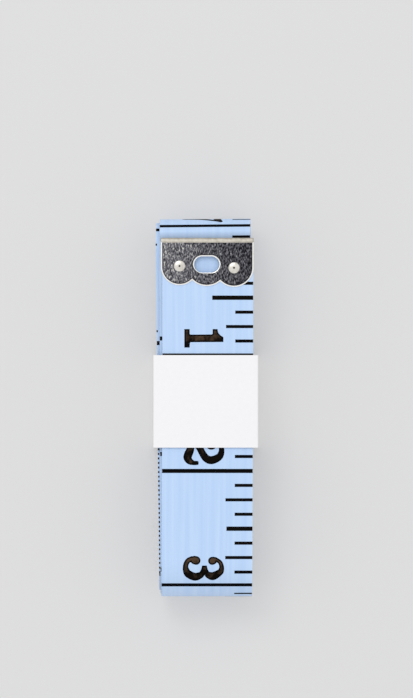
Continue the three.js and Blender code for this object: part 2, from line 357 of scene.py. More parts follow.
@dataclass(frozen=True)
class PrintedInk:
    """Vinyl ink, printed on the tape by a roller."""

    name: str
    colour: str
    thin_colour: str
    turn: float = 2 * INCH  # how much tape goes by in one turn of the inking roller
    roughness: float = 0.55
    gloss: float = 0.04
    patch_size: float = 1.6
    patch_detail: float = 4.0
    patch_raggedness: float = 0.6
    film_span: tuple[float, float] = (0.35, 0.65)
    thin_until: float = 0.37  # the shares of a turn between which the ink gets thicker
    thick_from: float = 0.455
    lift: float = 0.2

    def material(self) -> Material:
        """Makes the finish: near black, browner where the film of ink lies thin.

        Returns:
            The material.
        """
        material, tree = new_material(self.name)
        flat = add_node(tree, "ShaderNodeUVMap", {"uv_map": FLAT_MAP})
        film = mottling(tree, flat, (self.patch_size,) * 3, self.patch_detail, self.patch_raggedness)
        # The inking roller lays each odd number on thinly at first, and is full for the even one
        place = add_node(tree, "ShaderNodeSeparateXYZ", None, {0: flat})
        turns = add_node(
            tree, "ShaderNodeMath", {"operation": "DIVIDE", 1: self.turn}, {0: place.outputs["Y"]}
        )
        turned = add_node(tree, "ShaderNodeMath", {"operation": "FRACT"}, {0: turns})
        lifted = add_node(
            tree, "ShaderNodeMapRange",
            {"From Min": self.thin_until, "From Max": self.thick_from, "To Min": self.lift,
             "To Max": -self.lift},
            {"Value": turned},
        )
        thinness = add_node(tree, "ShaderNodeMath", {"operation": "ADD"}, {0: film, 1: lifted})
        colour = shade(tree, thinness, self.film_span, self.colour, self.thin_colour)
        finish_surface(tree, {"Roughness": self.roughness, "Specular IOR Level": self.gloss}, colour)
        return material


@dataclass(frozen=True)
class TinPlate:
    """Cold-rolled steel strip with a thin, streaky coat of tin, dark as a painted reflection of the flat
    plate.
    """

    dark_colour: str = "#15151B"
    mid_colour: str = "#77777E"
    fleck_colour: str = "#DCDAD4"
    roughness: float = 0.4
    grain_width: float = 0.27
    grain_length: float = 0.62
    grain_detail: float = 4.0
    grain_raggedness: float = 0.62
    # How much darker the painted reflection gets towards the right, for each millimetre
    tarnish: float = 0.0065  # the grain's loss of light to the right, for each millimetre
    mottle_span: tuple[float, float] = (0.392, 0.6)
    fleck_span: tuple[float, float] = (0.58, 0.74)
    relief: float = 0.01
    relief_strength: float = 0.4

    def material(self) -> Material:
        """Makes the finish: dark, mottled metal with pale flecks drawn out along the rolling; the darkness,
        and its lightening to the left, are a painted reflection.

        Returns:
            The material.
        """
        material, tree = new_material("rolled_tin_plate")
        place = add_node(tree, "ShaderNodeTexCoord").outputs["Object"]
        size = (self.grain_width * MM, self.grain_length * MM, self.grain_length * MM)
        grain = mottling(tree, place, size, self.grain_detail, self.grain_raggedness)
        # Painted reflection: lighter towards the left and darker towards the right
        across = add_node(tree, "ShaderNodeSeparateXYZ", None, {0: place})
        grain_and_painted_reflection = add_node(
            tree, "ShaderNodeMath", {"operation": "MULTIPLY_ADD", 1: -self.tarnish / MM},
            {0: across.outputs["X"], 2: grain},
        )
        mottled = shade(tree, grain_and_painted_reflection, self.mottle_span, self.dark_colour, self.mid_colour)
        colour = shade(tree, grain_and_painted_reflection, self.fleck_span, mottled, self.fleck_colour)
        settings = {"Metallic": 1.0, "Roughness": self.roughness}
        finish_surface(tree, settings, colour, grain, self.relief, self.relief_strength)
        return material


@dataclass(frozen=True)
class BareTin:
    """Tin without the dark coat: burnished on the rivets, and in white, pale and dark copies that paint a
    tip's highlights and shade.
    """

    name: str
    colour: str
    dull_colour: str
    roughness: float = 0.3
    patch_size: float = 0.9
    patch_detail: float = 3.0
    patch_raggedness: float = 0.5
    patch_span: tuple[float, float] = (0.4, 0.68)

    def material(self) -> Material:
        """Makes the finish: plain metal with duller patches.

        Returns:
            The material.
        """
        material, tree = new_material(self.name)
        place = add_node(tree, "ShaderNodeTexCoord").outputs["Object"]
        size = (self.patch_size * MM,) * 3
        rubbed = mottling(tree, place, size, self.patch_detail, self.patch_raggedness)
        colour = shade(tree, rubbed, self.patch_span, self.colour, self.dull_colour)
        finish_surface(tree, {"Metallic": 1.0, "Roughness": self.roughness}, colour)
        return material


@dataclass(frozen=True)
class TipFinishes:
    """What a tip and its rivets are dressed in."""

    plate: Material
    # The edges are painted white as a highlight, the band beside them and the rivets' punch marks are dark
    # as painted shade, and the fold is painted pale as a highlight
    edge: Material
    grime: Material
    fold: Material
    rivet: Material


@dataclass(frozen=True)
class UncoatedPaper:
    """Bleached, uncoated paper, cut and folded."""

    colour: str = "#F2F1F2"
    cloudy_colour: str = "#ECEBED"
    roughness: float = 0.85
    gloss: float = 0.2
    fibre_length: float = 0.9
    fibre_detail: float = 6.0
    fibre_raggedness: float = 0.65
    fibre_relief: float = 0.01
    fibre_strength: float = 0.5

    def material(self) -> Material:
        """Makes the finish: matt white, with the faint cloudiness and felt of the fibres.

        Returns:
            The material.
        """
        material, tree = new_material("bleached_uncoated_paper")
        place = add_node(tree, "ShaderNodeTexCoord").outputs["Object"]
        size = (self.fibre_length * MM,) * 3
        felt = mottling(tree, place, size, self.fibre_detail, self.fibre_raggedness)
        colour = shade(tree, felt, (0.0, 1.0), self.colour, self.cloudy_colour)
        settings = {"Roughness": self.roughness, "Specular IOR Level": self.gloss}
        finish_surface(tree, settings, colour, felt, self.fibre_relief, self.fibre_strength)
        return material


# Flat work: sheets that are drawn, cut out and thickened before they are laid where they belong


@dataclass
class Solid:
    """Corners (across, along, height) in millimetres, faces, and each face's material number."""

    corners: np.ndarray
    faces: list[tuple[int, ...]]
    patches: list[int]

    @classmethod
    def together(cls, solids: Sequence["Solid"]) -> "Solid":
        """Takes solids that lie beside each other as one.

        Args:
            solids: the solids.

        Returns:
            The whole.
        """
        starts = np.cumsum([0, *(len(solid.corners) for solid in solids)]).tolist()
        faces = [
            tuple(i + start for i in face) for solid, start in zip(solids, starts) for face in solid.faces
        ]
        patches = [patch for solid in solids for patch in solid.patches]
        return cls(np.concatenate([solid.corners for solid in solids]), faces, patches)


@dataclass
class Sheet:
    """A flat sheet: points (across, along) in millimetres and the faces between them."""

    points: np.ndarray
    faces: list[tuple[int, ...]]

    @classmethod
    def strip(cls, across: Sequence[float], along: Sequence[float]) -> "Sheet":
        """Makes a strip of four-sided faces.

        Args:
            across: where the lines along the strip lie.
            along: where the lines across it lie.

        Returns:
            The sheet.
        """
        wide = len(across)
        faces = [
            (row * wide + i, row * wide + i + 1, (row + 1) * wide + i + 1, (row + 1) * wide + i)
            for row in range(len(along) - 1)
            for i in range(wide - 1)
        ]
        return cls(np.array([(x, s) for s in along for x in across]), faces)

    def joined(self, other: "Sheet") -> "Sheet":
        """Joins two sheets where they share points.

        Args:
            other: the sheet that continues this one.

        Returns:
            One sheet.
        """
        both = np.concatenate([self.points, other.points])
        rounded = both.round(JOIN_DECIMALS)
        _, first, owner = np.unique(rounded, axis=0, return_index=True, return_inverse=True)
        owner = owner.ravel()
        faces = self.faces + [tuple(i + len(self.points) for i in face) for face in other.faces]
        return Sheet(both[first], [tuple(int(owner[i]) for i in face) for face in faces])

    def touching(self, marked: np.ndarray) -> np.ndarray:
        """Tells which faces have a marked point."""
        return np.array([marked[list(face)].any() for face in self.faces])

    def thickened(
        self, low: np.ndarray | float, high: np.ndarray | float, patches: np.ndarray | None = None
    ) -> Solid:
        """Gives the sheet its thickness.

        Args:
            low: the lower face's height, or its height at each point.
            high: the same for the upper face.
            patches: each face's material number; without them, the sheet has one material.

        Returns:
            A closed solid.
        """
        count = len(self.points)
        bottoms = [tuple(i + count for i in reversed(face)) for face in self.faces]
        uses: dict[tuple[int, int], int] = {}
        for face in self.faces:
            for a, b in zip(face, face[1:] + face[:1]):
                edge = (min(a, b), max(a, b))
                uses[edge] = uses.get(edge, 0) + 1
        walls = [(a, b, b + count, a + count) for (a, b), times in uses.items() if times == 1]
        heights = [np.full(count, height) for height in (high, low)]
        corners = np.concatenate([np.column_stack([self.points, height]) for height in heights])
        numbers = [0] * len(self.faces) if patches is None else [int(patch) for patch in patches]
        rim = 0 if patches is None else Patch.RIM.value
        return Solid(corners, self.faces + bottoms + walls, numbers * 2 + [rim] * len(walls))


def within(points: np.ndarray, loops: Iterable[Loop]) -> np.ndarray:
    """Tells which points lie within closed loops.

    Args:
        points: the points.
        loops: the loops; one within another is a hole.

    Returns:
        True for each point that is within an odd number of loops.
    """
    inside = np.zeros(len(points), bool)
    for loop in loops:
        start, end = loop, np.roll(loop, -1, axis=0)
        for (x0, y0), (x1, y1) in zip(start, end):
            if y0 == y1:
                continue
            spans = (points[:, 1] < y0) != (points[:, 1] < y1)
            crossing = x0 + (points[:, 1] - y0) * (x1 - x0) / (y1 - y0)
            inside ^= spans & (points[:, 0] < crossing)
    return inside


def cut_out(
    outlines: Sequence[Loop], contours: Sequence[Loop] = (), lines: Sequence[Loop] = ()
) -> Sheet:
    """Cuts a sheet out along closed outlines.

    Args:
        outlines: the sheet's outline and those of its holes.
        contours: further closed lines that the faces follow.
        lines: further open lines that the faces follow.

    Returns:
        The sheet, in triangles.
    """
    points, edges = [], []
    for number, loop in enumerate([*outlines, *contours, *lines]):
        start, count = len(points), len(loop)
        points += [Vector(point) for point in loop]
        closed = number < len(outlines) + len(contours)
        edges += [(start + i, start + (i + 1) % count) for i in range(count if closed else count - 1)]
    found, _, triangles, *_ = delaunay_2d_cdt(points, edges, [], 0, WELD, False)
    placed = np.array([tuple(point) for point in found], float)
    faces = np.array([tuple(face) for face in triangles], int)
    keep = within(placed[faces].mean(axis=1), outlines)
    used, renumbered = np.unique(faces[keep], return_inverse=True)
    return Sheet(placed[used], [tuple(int(i) for i in face) for face in renumbered.reshape(-1, 3)])


def distance_to_disc(
    x: np.ndarray, y: np.ndarray, centre: tuple[float, float], radius: float
) -> np.ndarray:
    """The distance from a disc's edge, negative within it."""
    return np.hypot(x - centre[0], y - centre[1]) - radius


def distance_to_outline(x: np.ndarray, y: np.ndarray, corners: Loop) -> np.ndarray:
    """The distance from a straight-sided outline.

    Args:
        x: the places along the first axis.
        y: the places along the second axis.
        corners: the outline's corners in order.

    Returns:
        The distance, negative within the outline.
    """
    nearest = np.full(x.shape, np.inf)
    for (x0, y0), (x1, y1) in zip(corners, np.roll(corners, -1, axis=0)):
        side = (x1 - x0) ** 2 + (y1 - y0) ** 2
        share = (((x - x0) * (x1 - x0) + (y - y0) * (y1 - y0)) / side).clip(0, 1)
        nearest = np.minimum(nearest, np.hypot(x - x0 - share * (x1 - x0), y - y0 - share * (y1 - y0)))
    inside = within(np.column_stack([x.ravel(), y.ravel()]), [corners]).reshape(x.shape)
    return np.where(inside, -nearest, nearest)


@dataclass
class Contoured:
    """A grid of distances from an outline, from which the outline is read at any depth."""

    distance: Callable[[np.ndarray, np.ndarray], np.ndarray]
    low: tuple[float, float]
    high: tuple[float, float]
    pitch: float
    tolerance: float
    grid: np.ndarray = field(init=False)

    def __post_init__(self) -> None:
        """Works the distances out at every place of the grid."""
        xs = np.arange(self.low[0], self.high[0] + self.pitch, self.pitch)
        ys = np.arange(self.low[1], self.high[1] + self.pitch, self.pitch)
        self.grid = self.distance(*np.meshgrid(xs, ys, indexing="ij"))

    def loops(self, level: float = 0.0) -> list[Loop]:
        """Reads the closed lines that lie at one distance.

        Args:
            level: the distance, negative within the outline.

        Returns:
            The lines, each as points.
        """
        values = self.grid - level
        inside = values < 0
        count = inside[:-1, :-1].astype(int) + inside[1:, :-1] + inside[1:, 1:] + inside[:-1, 1:]
        links: dict[tuple[int, int, int], list[tuple[int, int, int]]] = {}
        for i, j in zip(*np.nonzero((count > 0) & (count < 4))):
            # Each side of the cell as an axis and the corner that it starts from
            sides = [(0, i, j), (1, i + 1, j), (0, i, j + 1), (1, i, j)]
            cut = [s for s in sides if inside[s[1], s[2]] != inside[s[1] + (s[0] == 0), s[2] + (s[0] == 1)]]
            # Where the cell is crossed twice, this tells which crossings go together
            if len(cut) == 4 and (inside[i, j] or values[i : i + 2, j : j + 2].mean() >= 0):
                cut = [cut[0], cut[3], cut[1], cut[2]]
            for a, b in zip(cut[::2], cut[1::2]):
                links.setdefault(a, []).append(b)
                links.setdefault(b, []).append(a)
        loops = []
        while links:
            start = next(iter(links))
            chain, here = [start], links.pop(start)[0]
            while here in links:
                chain.append(here)
                following = links.pop(here)
                here = following[0] if following[0] in links else following[1]
            loops.append(self._thinned(np.array([self._crossing(values, side) for side in chain])))
        return [loop for loop in loops if len(loop) > 2]

    def _crossing(self, values: np.ndarray, side: tuple[int, int, int]) -> tuple[float, float]:
        """Finds the place on a cell's side where the values pass through zero.

        Args:
            values: the grid's values.
            side: the side's axis and the corner that it starts from.

        Returns:
            The place.
        """
        axis, i, j = side
        start, end = values[i, j], values[i + (axis == 0), j + (axis == 1)]
        share = start / (start - end)
        x = self.low[0] + self.pitch * (i + share * (axis == 0))
        y = self.low[1] + self.pitch * (j + share * (axis == 1))
        return x, y

    def _thinned(self, loop: Loop) -> Loop:
        """Drops the points that the outline doesn't need.

        Args:
            loop: a closed line.

        Returns:
            The same line within the tolerance, with fewer points.
        """
        far = int(np.hypot(*(loop - loop[0]).T).argmax())
        keep = {0, far}
        spans = [(0, far), (far, len(loop))]
        ring = np.concatenate([loop, loop[:1]])
        while spans:
            start, end = spans.pop()
            if end - start < 2:
                continue
            chord = ring[end] - ring[start]
            away = ring[start + 1 : end] - ring[start]
            length = max(np.hypot(*chord), SHORTEST_CHORD)
            offset = np.abs(chord[0] * away[:, 1] - chord[1] * away[:, 0]) / length
            worst = int(offset.argmax())
            if offset[worst] > self.tolerance:
                middle = start + 1 + worst
                keep.add(middle)
                spans += [(start, middle), (middle, end)]
        return loop[sorted(keep)]


def put(name: str, data: bpy.types.ID) -> Piece:
    """Puts an object into the scene.

    Args:
        name: the object's name.
        data: its mesh, camera or lamp.

    Returns:
        The object.
    """
    thing = bpy.data.objects.new(name, data)
    bpy.context.scene.collection.objects.link(thing)
    return thing


def make_piece(
    name: str, solid: Solid, places: np.ndarray, finishes: Sequence[Material], smooth_angle: float = 35.0
) -> Piece:
    """Makes a mesh object.

    Args:
        name: the piece's name.
        solid: its faces, with the flat place of each corner.
        places: where the corners lie, in metres.
        finishes: its materials, as the solid numbers them.
        smooth_angle: edges sharper than this many degrees show as edges.

    Returns:
        The object, not yet riding on anything.
    """
    mesh = bpy.data.meshes.new(name)
    mesh.from_pydata(places.tolist(), [], solid.faces)
    for finish in finishes:
        mesh.materials.append(finish)
    mesh.polygons.foreach_set("material_index", solid.patches)
    corner = np.zeros(len(mesh.loops), np.int32)
    mesh.loops.foreach_get("vertex_index", corner)
    flat = mesh.uv_layers.new(name=FLAT_MAP)
    flat.data.foreach_set("uv", solid.corners[corner, :2].astype(np.float32).ravel())
    work = bmesh.new()
    work.from_mesh(mesh)
    bmesh.ops.recalc_face_normals(work, faces=work.faces)
    work.to_mesh(mesh)
    work.free()
    mesh.polygons.foreach_set("use_smooth", [True] * len(mesh.polygons))
    mesh.set_sharp_from_angle(angle=math.radians(smooth_angle))
    mesh.update()
    log.info("%s: %d faces", name, len(mesh.polygons))
    return put(name, mesh)


def take_place(piece: Piece, body: Body, node: str) -> Piece:
    """Puts a piece in the place of a CAD node.

    Args:
        piece: the piece.
        body: the body that it rides on.
        node: the node.

    Returns:
        The piece.
    """
    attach(piece, body.value)
    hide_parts(node)
    return piece


def smoothstep(share: np.ndarray) -> np.ndarray:
    """Eases a share from zero to one, level at both ends."""
    held = np.clip(share, 0, 1)
    return held * held * (3 - 2 * held)


# The tape


@dataclass
class Hank:
    """The way the tape takes through the hank, which is the winding that the CAD solids have.

    A place on the tape is given by how far it is across from the tape's middle, how far along from the
    scale's zero, and how high it is above the middle of the tape's thickness on the inch face's side.
    """

    length: float = 1524.0
    width: float = 20.0
    thickness: float = 0.35
    gap: float = 0.42
    reach: float = 83.1
    zero_inset: float = 4.65
    core: float = 1.1
    half_turns: int = 18
    outer_drift: float = 0.45
    inner_drift: float = -0.55
    drift_half_turns: float = 2.5
    stray_drift: float = -0.3
    stray_at: float = 4.25
    stray_half_turns: float = 1.0
    skew: float = 0.4
    skew_half_turns: float = 2.6
    skew_onset: float = 4.0
    lean: float = 0.011
    lean_half_turns: float = 1.6
    climb: float = 0.35
    climb_inset: float = 1.5
    tip_reach: float = 10.37
    bend_reach: float = 1.2
    split_at: float = 30.5
    steps_per_bend: int = 30
    run_step: float = 2.5
    bend_step: float = 0.15
    slack: float = 0.06
    waves: float = 1.2
    waves_step: float = 0.37
    waves_cycle: int = 4
    wave_start: float = 0.618
    core_height: float = field(init=False)
    hinge: np.ndarray = field(init=False)
    along: np.ndarray = field(init=False)
    middle: np.ndarray = field(init=False)
    facing: np.ndarray = field(init=False)
    leaning: np.ndarray = field(init=False)

    def __post_init__(self) -> None:
        """Takes the height and the hinge from the CAD and lays the tape out."""
        low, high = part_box("tape_winding")
        self.core_height = (low.z + high.z) / 2 / MM
        hinge = next(joint for joint in frame["joints"] if joint["name"] == "free_end_lift")
        self.hinge = np.array(hinge["pos_m"]) / MM
        self._lay_out()

    def _height(self, run: int) -> float:
        """Tells how high a straight run lies: even runs are on the front, odd ones on the back.

        Args:
            run: which run, from the outermost one inwards.

        Returns:
            Its height above the core's middle.
        """
        if run == self.half_turns:
            return 0.0
        turns = (self.half_turns - 1 - run) // 2
        return (1 if run % 2 == 0 else -1) * (self.core + turns * (self.thickness + self.gap))

    def _drift(self, half_turns: float, end: int) -> float:
        """How far the tape lies to one side after so many half turns.

        Args:
            half_turns: how many half turns in from the cut end.
            end: 1 at an upper bend, -1 at a lower one, between which the inner layers lie askew.

        Returns:
            The tape's middle, across the hank.
        """
        creep = math.exp(-half_turns / self.drift_half_turns)
        stray = math.exp(-(((half_turns - self.stray_at) / self.stray_half_turns) ** 2))
        askew = 1 - math.exp(-((half_turns / self.skew_half_turns) ** self.skew_onset))
        drift = self.inner_drift + (self.outer_drift - self.inner_drift) * creep
        return drift + self.stray_drift * stray - end * self.skew * askew

    def _leaning(self, half_turns: float) -> float:
        """How far the tape's cross-lines rise to the right, as the hank is wound askew."""
        return self.lean * (1 - math.exp(-((half_turns / self.lean_half_turns) ** self.skew_onset)))

    def _sway(self, run: int, share: float) -> float:
        """Tells how far a slack run stands off its place.

        Args:
            run: which run, from the outermost one inwards.
            share: how far along it, as a share of its length.

        Returns:
            The distance.
        """
        if run in (0, self.half_turns):
            return 0.0
        waves, start = self.waves + self.waves_step * (run % self.waves_cycle), self.wave_start * run
        return self.slack * math.sin(math.pi * share) ** 2 * math.sin(2 * math.pi * (waves * share + start))

    def _lay_out(self) -> None:
        """Works out the stations that the tape bends at."""
        heights = [self._height(run) for run in range(self.half_turns + 1)]
        radii = [abs(a - b) / 2 for a, b in zip(heights, heights[1:])]
        centres = [(a + b) / 2 for a, b in zip(heights, heights[1:])]
        low_end = radii[0] + self.thickness / 2 - self.reach / 2
        high_end = self.reach / 2 - radii[1] - self.thickness / 2
        fold_ends, run = (low_end, high_end), high_end - low_end
        cut_end, hinge_y = self.reach / 2 - self.zero_inset, self.hinge[1]
        # The outermost run, from the cut end down, with short steps where the free end bends
        zone = hinge_y + np.arange(-self.bend_reach, self.bend_reach + self.bend_step, self.bend_step)
        coarse = np.arange(cut_end, low_end, -self.run_step / 2)
        ys = np.unique(np.concatenate([zone, coarse, [cut_end, cut_end - self.split_at, low_end]]))[::-1]
        climb_foot, climb_top = hinge_y + self.climb_inset, cut_end - self.tip_reach
        stations = []
        for y in ys:
            rise = self.climb * smoothstep((y - climb_foot) / (climb_top - climb_foot))
            share = max(0.0, (hinge_y - y) / (hinge_y - low_end))
            x = self.outer_drift + share * (self._drift(0.5, -1) - self.outer_drift)
            stations.append((cut_end - y, x, y, heights[0] + rise, 0.0, 1.0, 0.0))
        # Then each bend, and the straight run that comes after it
        for k, (radius, centre) in enumerate(zip(radii, centres)):
            outward, fold_end, next_run = -1 if k % 2 == 0 else 1, fold_ends[k % 2], k + 1
            start = stations[-1][0]
            for step in range(1, self.steps_per_bend + 1):
                turned = step / self.steps_per_bend
                facing_y = outward * math.sin(math.pi * turned)
                facing_z = -outward * math.cos(math.pi * turned)
                half_turns = k + (1 + turned) / 2
                x, lean = self._drift(half_turns, outward), self._leaning(half_turns)
                y, z = fold_end + radius * facing_y, centre + radius * facing_z
                stations.append((start + math.pi * radius * turned, x, y, z, facing_y, facing_z, lean))
            start = stations[-1][0]
            stretch = self.length - start if next_run == self.half_turns else run
            x_start, x_end = self._drift(next_run, outward), self._drift(next_run + 0.5, -outward)
            face = 1.0 if next_run % 2 == 0 else -1.0
            steps = round(stretch / self.run_step)
            for step in range(1, steps + 1):
                share = step / steps
                x = x_start + (x_end - x_start) * stretch / run * share
                y = fold_end - outward * stretch * share
                z = heights[next_run] + face * self._sway(next_run, share)
                lean = self._leaning(next_run + share / 2)
                stations.append((start + stretch * share, x, y, z, 0.0, facing_z, lean))
        table = np.array(stations)
        self.along, self.facing, self.leaning = table[:, 0], table[:, 4:6], table[:, 6]
        self.middle = table[:, 1:4] + [0, 0, self.core_height]

    def place(self, corners: np.ndarray, face: Face = Face.INCH) -> np.ndarray:
        """Lays flat work on the tape.

        Args:
            corners: (across, along, height) of each corner, as seen from the face.
            face: the face that it is drawn on.

        Returns:
            Where the corners lie, in metres.
        """
        across, along, height = corners[:, 0] * face.value, corners[:, 1], corners[:, 2] * face.value
        x, y, z = (np.interp(along, self.along, self.middle[:, axis]) for axis in range(3))
        facing_y, facing_z = (np.interp(along, self.along, self.facing[:, axis]) for axis in range(2))
        rise = across * np.interp(along, self.along, self.leaning)
        return np.column_stack([x + across, y + rise + height * facing_y, z + height * facing_z]) * MM

    def stations(self, start: float, end: float) -> np.ndarray:
        """The stations between two places along the tape, both left out."""
        return self.along[(self.along > start + AT_STATION) & (self.along < end - AT_STATION)]


@dataclass
class TipShape:
    """The stamped outline of a tip: across from the tape's middle, and down from its cut end.

    The strip was folded a little askew, so the pattern stamped into it lies lower on the right.
    """

    tape_width: float = 20.0
    overhang: float = 0.22
    offset: float = -0.13
    pattern_offset: float = -0.24
    pattern_slope: float = 0.033
    reach: float = 10.17
    scallop_spacing_share: float = 0.2935
    middle_scallop_share: float = 0.227
    slot_width: float = 3.5
    slot_straight: float = 2.0
    slot_drop_share: float = 0.531
    slot_lean: float = 0.7
    rivet_drop_share: float = 0.583
    hole_radius: float = 0.7

    @property
    def width(self) -> float:
        """The tip's width."""
        return self.tape_width + 2 * self.overhang

    @property
    def spacing(self) -> float:
        """From the middle scallop to an outer one."""
        return self.scallop_spacing_share * self.width

    def stamped(self, across: float, down: float) -> tuple[float, float]:
        """Where a place in the pattern lies on the tip."""
        return self.pattern_offset + across, down + self.pattern_slope * across

    def rivet_place(self, side: Side) -> tuple[float, float]:
        """A rivet's place."""
        return self.stamped(side.value * self.spacing, self.rivet_drop_share * self.reach)

    def holes(self, across: np.ndarray, down: np.ndarray) -> np.ndarray:
        """Measures how far places are from the slot and the rivet holes.

        Args:
            across: the places across the tip.
            down: the places down from the cut end.

        Returns:
            The distances, negative within the holes.
        """
        slot_across, slot_down = self.stamped(0, self.slot_drop_share * self.reach)
        beyond = np.maximum(np.abs(across - slot_across) - self.slot_straight / 2, 0)
        slot = np.hypot(beyond, down - slot_down) - self.slot_width / 2
        # The punch went in a little askew, so the rim is narrower at the slot's lower side
        lower = ((down - slot_down) / (self.slot_width / 2)).clip(0, 1)
        slot = slot * (1 + self.slot_lean * lower)
        rivets = [distance_to_disc(across, down, self.rivet_place(side), self.hole_radius) for side in Side]
        return np.minimum.reduce([slot, *rivets])

    def plate(self, across: np.ndarray, down: np.ndarray) -> np.ndarray:
        """Measures how far places are from the plate's outline and its holes.

        Args:
            across: the places across the tip.
            down: the places down from the cut end.

        Returns:
            The distances, negative in the metal.
        """
        half = self.width / 2
        lowest = [self.stamped(place * self.spacing, self.reach) for place in (-1, 0, 1)]
        radii = [
            lowest[0][0] - self.offset + half,
            self.middle_scallop_share * self.width,
            self.offset + half - lowest[2][0],
        ]
        scallops = [
            distance_to_disc(across, down, (x, y - radius), radius)
            for (x, y), radius in zip(lowest, radii)
        ]
        # The straight sides run down to where they touch the outer scallops
        share = ((across - self.offset) / self.width + 0.5).clip(0, 1)
        sides_end = (lowest[0][1] - radii[0]) * (1 - share) + (lowest[2][1] - radii[2]) * share
        straight = np.maximum(np.abs(across - self.offset) - half, down - sides_end)
        return np.maximum(np.minimum.reduce([straight, *scallops]), -self.holes(across, down))


@dataclass
class ClothTape:
    """The tape itself: one strip, as a free end that bends at the hinge and the wound rest."""

    hank: Hank
    tip: TipShape
    edge_rounding: float = 0.03
    punched_from: float = 1.0
    punched_reach: float = 8.6
    outline_pitch: float = 0.12
    outline_tolerance: float = 0.006

    @property
    def lines(self) -> tuple[float, float, float, float]:
        """Where the slit edges, and the lines just inside them, lie across the tape."""
        half, inner = self.hank.width / 2, self.hank.width / 2 - self.edge_rounding
        return -half, -inner, inner, half

    def _punched(self, cut_at: float, inward: int) -> Sheet:
        """The stretch next to a cut end, with the holes that the tip's slot and rivets go through.

        Args:
            cut_at: where the tape is cut.
            inward: 1 if the tape goes on beyond it, or -1 if it comes before it.

        Returns:
            The sheet.
        """
        reach, (left, *within_edges, right) = self.punched_reach, self.lines
        outline = np.array([*((x, 0) for x in self.lines), *((x, reach) for x in reversed(self.lines))])
        region = Contoured(
            self.tip.holes, (left, self.punched_from), (right, reach), self.outline_pitch,
            self.outline_tolerance,
        )
        edges = [np.array([(x, 0), (x, reach)]) for x in within_edges]
        sheet = cut_out([outline, *region.loops()], (), edges)
        # Seen from the inch face, the inner tip's left is on the tape's right
        sheet.points = np.column_stack([inward * sheet.points[:, 0], cut_at + inward * sheet.points[:, 1]])
        return sheet

    def build(self, cloth: Material, edge: Material) -> list[Piece]:
        """Builds and dresses both pieces.

        Args:
            cloth: the finish of the faces.
            edge: the finish of the slit edges.

        Returns:
            The free end and the wound tape.
        """
        hank, first, split, last = (
            self.hank, self.punched_reach, self.hank.split_at, self.hank.length - self.punched_reach
        )
        free, wound = (
            Sheet.strip(self.lines, [start, *hank.stations(start, end), end])
            for start, end in ((first, split), (split, last))
        )
        pieces = []
        for name, node, sheet in (
            ("cloth_free_end", "tape_free_end", self._punched(0.0, 1).joined(free)),
            ("cloth_winding", "tape_winding", wound.joined(self._punched(hank.length, -1))),
        ):
            # The slit edges are rounded
            at_edge = np.abs(np.abs(sheet.points[:, 0]) - hank.width / 2) < AT_EDGE
            half = hank.thickness / 2 - self.edge_rounding * at_edge
            patches = np.where(sheet.touching(at_edge), Patch.RIM.value, Patch.SHEET.value)
            solid = sheet.thickened(-half, half, patches)
            piece = make_piece(name, solid, hank.place(solid.corners), [cloth, edge])
            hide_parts(node)
            pieces.append(piece)
        return pieces


# The print


@dataclass(frozen=True)
class Stroke:
    """A stroke of a numeral, whose width changes along it: points (along, up, width)."""

    points: tuple[tuple[float, float, float], ...]
    closed: bool = False
    steps: int = 10

    def distance(self, along: np.ndarray, up: np.ndarray) -> np.ndarray:
        """Measures how far places are from the stroke.

        Args:
            along: the places along the row.
            up: the places up from its foot.

        Returns:
            The distances, negative within the stroke.
        """
        ring = list(self.points)
        ends = (ring[-1:], ring[:2]) if self.closed else (ring[:1], ring[-1:])
        knots = np.array([*ends[0], *ring, *ends[1]])
        nearest = np.full(along.shape, np.inf)
        # A smooth curve through the points, as a row of discs
        for i in range(1, len(knots) - 2):
            before, start, end, after = knots[i - 1 : i + 3]
            for t in np.linspace(0, 1, self.steps, endpoint=False):
                x, y, width = 0.5 * (
                    2 * start + (end - before) * t
                    + (2 * before - 5 * start + 4 * end - after) * t**2
                    + (3 * start - before - 3 * end + after) * t**3
                )
                nearest = np.minimum(nearest, np.hypot(along - x, up - y) - width / 2)
        x, y, width = knots[-2]
        return np.minimum(nearest, np.hypot(along - x, up - y) - width / 2)


@dataclass(frozen=True)
class Slab:
    """A straight-sided part of a numeral: its corners (along, up)."""

    corners: tuple[tuple[float, float], ...]

    def distance(self, along: np.ndarray, up: np.ndarray) -> np.ndarray:
        """The distance from the slab's edge, negative within it."""
        return distance_to_outline(along, up, np.array(self.corners))


@dataclass(frozen=True)
class Numeral:
    """One numeral: its parts, and how far along the tape it takes up."""

    width: float
    parts: tuple[Stroke | Slab, ...]

    def distance(self, along: np.ndarray, up: np.ndarray) -> np.ndarray:
        """The distance from the numeral's edge, negative in the ink."""
        return np.minimum.reduce([part.distance(along, up) for part in self.parts])

    def turned(self, height: float) -> "Numeral":
        """Turns the numeral half round, as a nine is to a six.

        Args:
            height: the numerals' height.

        Returns:
            The turned one.
        """
        parts = tuple(
            Stroke(tuple((self.width - x, height - y, w) for x, y, w in part.points), part.closed)
            for part in self.parts
        )
        return Numeral(self.width, parts)


